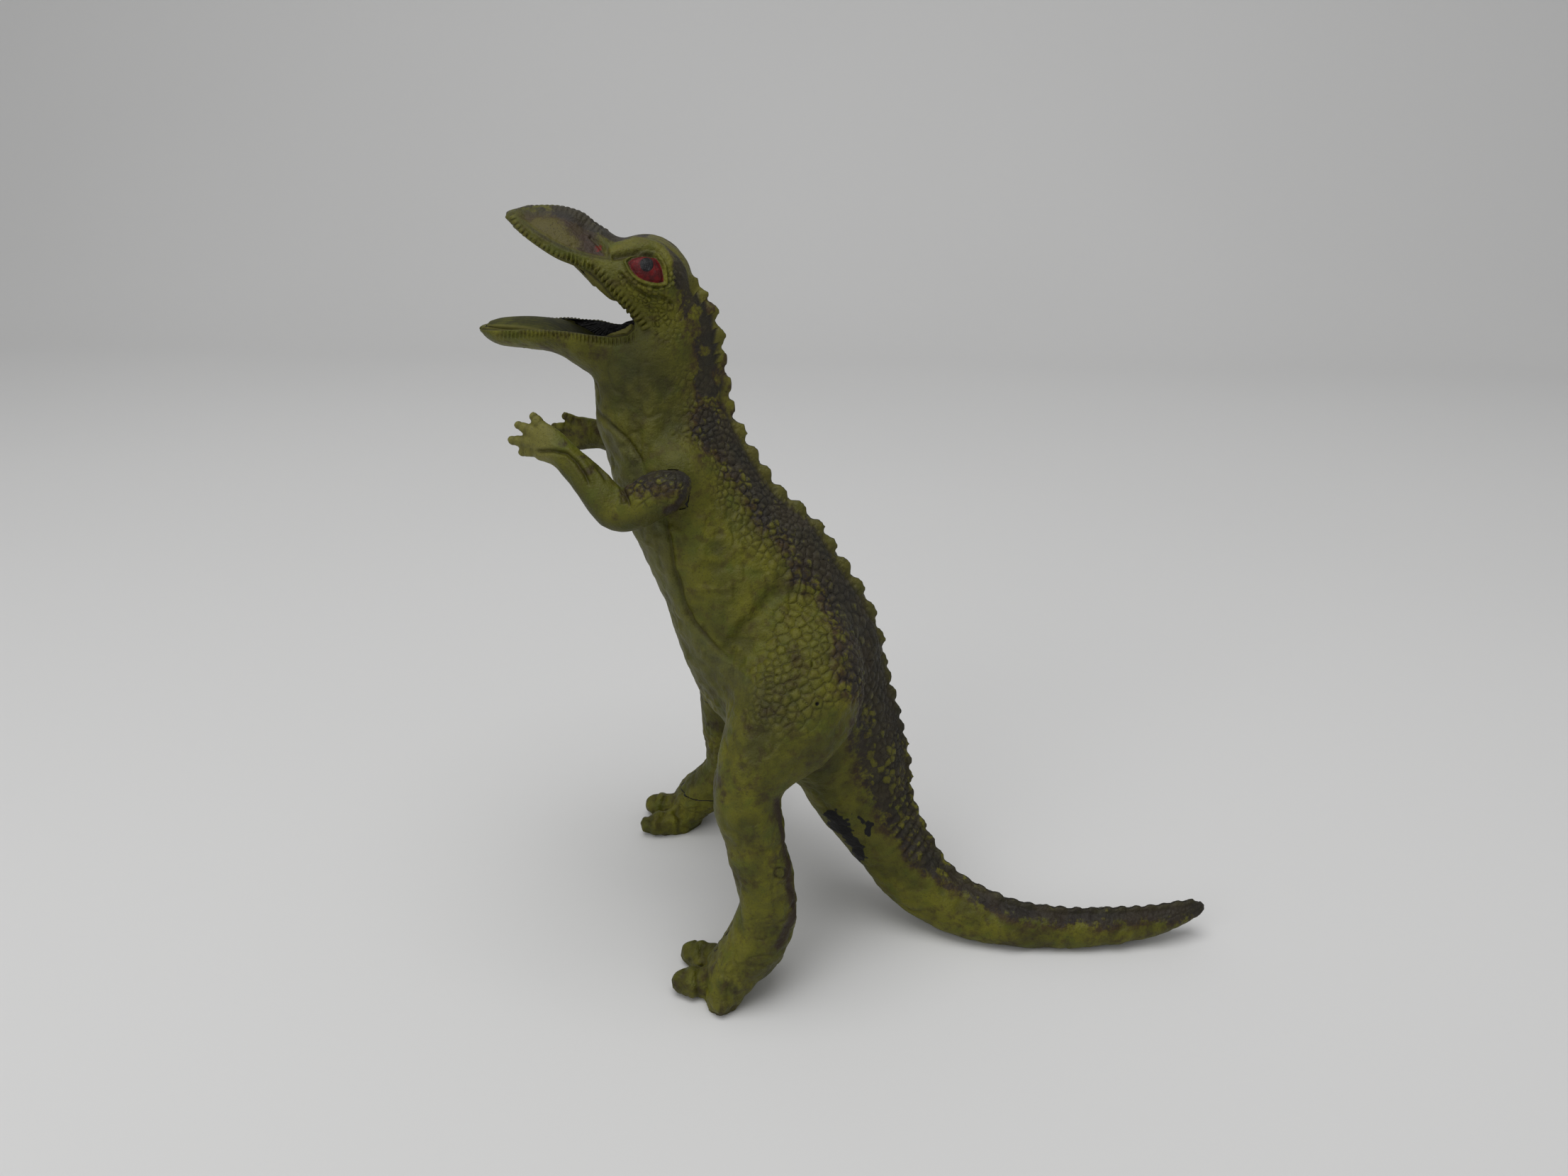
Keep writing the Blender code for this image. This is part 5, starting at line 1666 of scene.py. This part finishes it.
class Finish:
    """A material built node by node."""

    def __init__(self, name):
        self.made = bpy.data.materials.new(name)
        self.made.use_nodes = True
        self.tree = self.made.node_tree
        self.shader = self.tree.nodes["Principled BSDF"]
        self.where = self.tree.nodes.new("ShaderNodeTexCoord").outputs["Object"]

    def put(self, socket, value):
        if isinstance(value, Value):
            value = value.socket
        if isinstance(value, bpy.types.NodeSocket):
            self.tree.links.new(value, socket)
        elif isinstance(value, tuple) and len(value) == 3 and socket.type == "RGBA":
            socket.default_value = (*value, 1)
        else:
            socket.default_value = value

    def math(self, operation, *values):
        node = self.tree.nodes.new("ShaderNodeMath")
        node.operation = operation
        for socket, value in zip(node.inputs, values):
            self.put(socket, value)
        return Value(self, node.outputs[0])

    def step(self, low, high, value):
        node = self.tree.nodes.new("ShaderNodeMapRange")
        node.interpolation_type = "SMOOTHSTEP"
        for name, given in (("Value", value), ("From Min", low), ("From Max", high)):
            self.put(node.inputs[name], given)
        return Value(self, node.outputs["Result"])

    def mix(self, share, below, above):
        node = self.tree.nodes.new("ShaderNodeMix")
        node.data_type = "RGBA"
        for socket, value in ((node.inputs[0], share), (node.inputs[6], below), (node.inputs[7], above)):
            self.put(socket, value)
        return node.outputs[2]

    def coats(self, colour, *coats):
        """Lays one paint after the other over a colour, each by its share."""
        for share, above in coats:
            colour = self.mix(share, colour, above)
        return colour

    def noise(self, size, detail=2.0, rough=0.5):
        """Cloudy noise whose lumps are about so many millimetres across."""
        node = self.tree.nodes.new("ShaderNodeTexNoise")
        self.tree.links.new(self.where, node.inputs["Vector"])
        for name, value in (("Scale", 1 / (size * MM)), ("Detail", detail), ("Roughness", rough)):
            node.inputs[name].default_value = value
        return Value(self, node.outputs["Fac"])

    def kept(self, name):
        """The four values of a group kept on the mesh."""
        node = self.tree.nodes.new("ShaderNodeAttribute")
        node.attribute_name = name
        split = self.tree.nodes.new("ShaderNodeSeparateColor")
        self.tree.links.new(node.outputs["Color"], split.inputs[0])
        return [Value(self, socket) for socket in (*split.outputs, node.outputs["Alpha"])]

    def bumps(self, *layers):
        """Bumps one over the other. A layer is its height, its depth in millimetres and its strength."""
        normal = None
        for height, depth, strength in layers:
            node = self.tree.nodes.new("ShaderNodeBump")
            node.inputs["Strength"].default_value = strength
            node.inputs["Distance"].default_value = depth * MM
            self.put(node.inputs["Height"], height)
            if normal is not None:
                self.tree.links.new(normal, node.inputs["Normal"])
            normal = node.outputs["Normal"]
        return normal

    def done(self, colour, roughness, normal):
        for name, value in (
            ("Base Color", colour), ("Roughness", roughness), ("Normal", normal), ("Metallic", 0.0),
            ("Specular IOR Level", SPECULAR),
        ):
            self.put(self.shader.inputs[name], value)
        return self.made


def skin_paint(name):
    """Olive paint on rubber, with painted shade in the hollows and painted highlight on bumps and scale tops, and
    sprayed dark paint along the back.
    """
    f = Finish(name)
    dark, groove, light, belly = f.kept("tone")
    eye, pupil, bare, stain = f.kept("mark")
    rim, bowl, nostril, top = f.kept("trim")
    crest_top, vent, luck, _ = f.kept("more")
    deep, flecked, pale, _ = f.kept("extra")
    broad, mid, fine, speck = f.noise(16, 3), f.noise(3.2, 3, 0.6), f.noise(0.8, 2, 0.6), f.noise(0.42, 1)

    dirt = (mid - 0.5) * 1.6 + (f.noise(1.3, 4, 0.7) - 0.5)
    worn = f.step(0.25, 1.0, stain * 0.9 + dirt) * (stain * 0.6 + 0.25)
    clouds = light + (f.noise(2.2, 4, 0.8) - 0.5) * 1.6
    # Painted shade: deep on the neck, thigh and arms' undersides, and groove in creases, pits and seams. Painted
    # highlight: light on bumps, beads and scale tops, pale on the outward side of the hand, and clouds in the
    # bill's hollow.
    colour = f.coats(
        f.mix(f.step(0.36, 0.64, broad), OLIVE, OLIVE_LIT),
        (f.step(0.5, 0.66, f.noise(7, 3)) * 0.6, GREENISH),
        (f.step(0.5, 0.7, mid) * 0.6, BROWNISH),
        (deep * 0.85, SHADED),
        (belly * (mid * 0.5 + 0.35), BELLY),
        (f.step(0.35, 0.6, luck) * 0.22, SCALE_LIT),
        (light * 0.5, EDGE_LIT),
        (pale * 0.6, HAND_HIGHLIGHT),
        (worn, WORN),
        (groove * 0.68, GROOVE_SHADE),
        (rim * 0.6, RIM),
        (bowl * (1.0 - groove * 0.8), f.mix(f.step(0.15, 0.85, clouds), BOWL, BOWL_LIT)),
        (f.step(0.60, 0.7, speck) * (bowl * 0.3 + 0.4), SPECK),
    )
    # Sprayed dark paint, thin at its edge and worn off the tops of the scales, with painted highlight on the scale
    # tops within it
    patches = f.step(0.5, 0.62, f.noise(5, 2)) * f.step(0.35, 0.55, luck)
    flecks = flecked * f.step(0.5, 0.6, luck)
    spray = dark * 1.5 + (fine - 0.5) * 1.1 + (mid - 0.5) * 1.6 + groove * 0.6
    spray = spray - (patches * 0.5).most(flecks * 0.95)
    spray = f.step(0.38, 1.15, spray - light * 0.3) * f.step(0.02, 0.25, dark)
    spray = spray.most(top * f.step(0.36, 0.55, mid))
    plates = crest_top * f.step(0.22, 0.42, mid)
    spray = spray * (1.0 - plates * 0.95)
    shade = f.mix(light * 0.6, f.mix(f.step(0.4, 0.6, f.noise(9, 2)), SLATE, SLATE_WARM), SLATE_LIT)
    fringe = f.step(0.02, 0.35, dark) * (1.0 - f.step(0.55, 0.9, dark))
    inked = f.step(0.49, 0.53, pupil)
    colour = f.coats(
        colour,
        (plates * 0.5, PLATE),
        (fringe * f.step(0.35, 0.6, mid), FRINGE),
        (spray * 0.9, shade),
        (f.step(0.49, 0.53, eye), f.mix(f.step(0.35, 0.6, f.noise(1.6, 3, 0.6)), RED, RED_DARK)),
        (f.step(0.46, 0.6, nostril) * f.step(0.4, 0.55, fine), NOSTRIL_RED),
        (inked, PUPIL),
        # The vent is a dimple painted near black, for the shade and the black rubber inside its hole.
        (f.step(0.49, 0.55, vent), VENT_HOLE),
        (f.step(0.49, 0.56, bare), BARE_RUBBER),
    )
    grain = f.bumps(
        (f.noise(0.6, 3, 0.65), 0.20, 0.8),
        (f.noise(1.9, 3, 0.6), 0.65, 0.8),
        (1.0 - groove, 0.40, 0.8),
    )
    return f.done(colour, mid * 0.2 + 0.46 - inked * 0.1, grain)


def mouth_finish():
    """Dark olive inside the mouth, black in the throat as painted shade of its depth, with a paler edge."""
    f = Finish("mouth_paint")
    depth, edge, groove, _ = f.kept("lining")
    mid, fine = f.noise(2.8, 3, 0.6), f.noise(0.7, 2, 0.6)
    colour = f.coats(
        f.mix(f.step(0.38, 0.62, mid), MOUTH, MOUTH_DARK),
        (groove * 0.5, MOUTH_GROOVE),
        (edge * 0.75, MOUTH_EDGE),
        # The throat is painted black as painted shade.
        (f.step(0.1, 0.7, depth), THROAT_SHADE),
    )
    return f.done(colour, fine * 0.18 + 0.62, f.bumps((f.noise(0.6, 3, 0.65), 0.1, 0.7)))


def stage_finish(name, colour):
    f = Finish(name)
    tone = f.mix(f.step(0.3, 0.7, f.noise(400, 1)), colour, tuple(part * 0.985 for part in colour))
    return f.done(tone, 0.9, f.bumps((f.noise(1.5, 2), 0.01, 0.2)))


# --- the stage, the light and the camera ---


def stage():
    """A pale floor that curves up into the backdrop."""
    turn = np.linspace(0, math.pi / 2, 25)[1:]
    front, reach, radius, high, half_width = -1500, 900, 500, 2500, 3000
    line = [(front, 0), (reach, 0)]
    line += [(reach + radius * math.sin(a), radius * (1 - math.cos(a))) for a in turn] + [(reach + radius, high)]
    points = [(side, y, z) for y, z in line for side in (-half_width, half_width)]
    faces = [(2 * row, 2 * row + 1, 2 * row + 3, 2 * row + 2) for row in range(len(line) - 1)]
    made = bpy.data.meshes.new("backdrop")
    made.from_pydata([tuple(part * MM for part in point) for point in points], [], faces)
    made.shade_smooth()
    made.materials.append(stage_finish("backdrop_grey", BACKDROP))
    object_of(made, "backdrop")


# Lamps: place, what they look at, size and power
LAMPS = {
    "above": ((-0.1, -0.25, 1.5), (0, 0.05, 0.08), 1.2, 11.5),
    "front": ((-0.7, -1.1, 0.9), (0, 0, 0.1), 1.0, 4.0),
}
ROOM_LIGHT = 0.36
SENSOR = 36


def lamp(name, place, target, size, power):
    data = bpy.data.lights.new(name, "AREA")
    data.shape = "DISK"
    data.size = size
    data.energy = power
    thing = object_of(data, name)
    thing.location = place
    way = (np.array(target) - np.array(place)).tolist()
    thing.rotation_euler = Vector(way).to_track_quat("-Z", "Y").to_euler()


def light_and_camera():
    world = bpy.data.worlds.new("room")
    world.use_nodes = True
    background = world.node_tree.nodes["Background"]
    background.inputs["Color"].default_value = (1, 1, 1, 1)
    background.inputs["Strength"].default_value = ROOM_LIGHT
    scene = bpy.context.scene
    scene.world = world
    for name, values in LAMPS.items():
        lamp(name, *values)
    data = bpy.data.cameras.new("camera")
    data.sensor_fit = "HORIZONTAL"
    data.sensor_width = SENSOR
    data.lens = SENSOR * FOCAL / PHOTO_WIDTH
    data.clip_start = 0.01
    camera = object_of(data, "camera")
    camera.location = EYE * MM
    camera.rotation_euler = (math.pi / 2 - TILT, 0, TURN)
    scene.camera = camera
    scene.view_settings.view_transform = "Standard"


figure(skin_paint("skin_paint"), mouth_finish())
for arm_side, arm_word in ((-1, "left"), (1, "right")):
    arm(arm_side, arm_word, skin_paint(f"arm_paint_{arm_word}"))
stage()
light_and_camera()
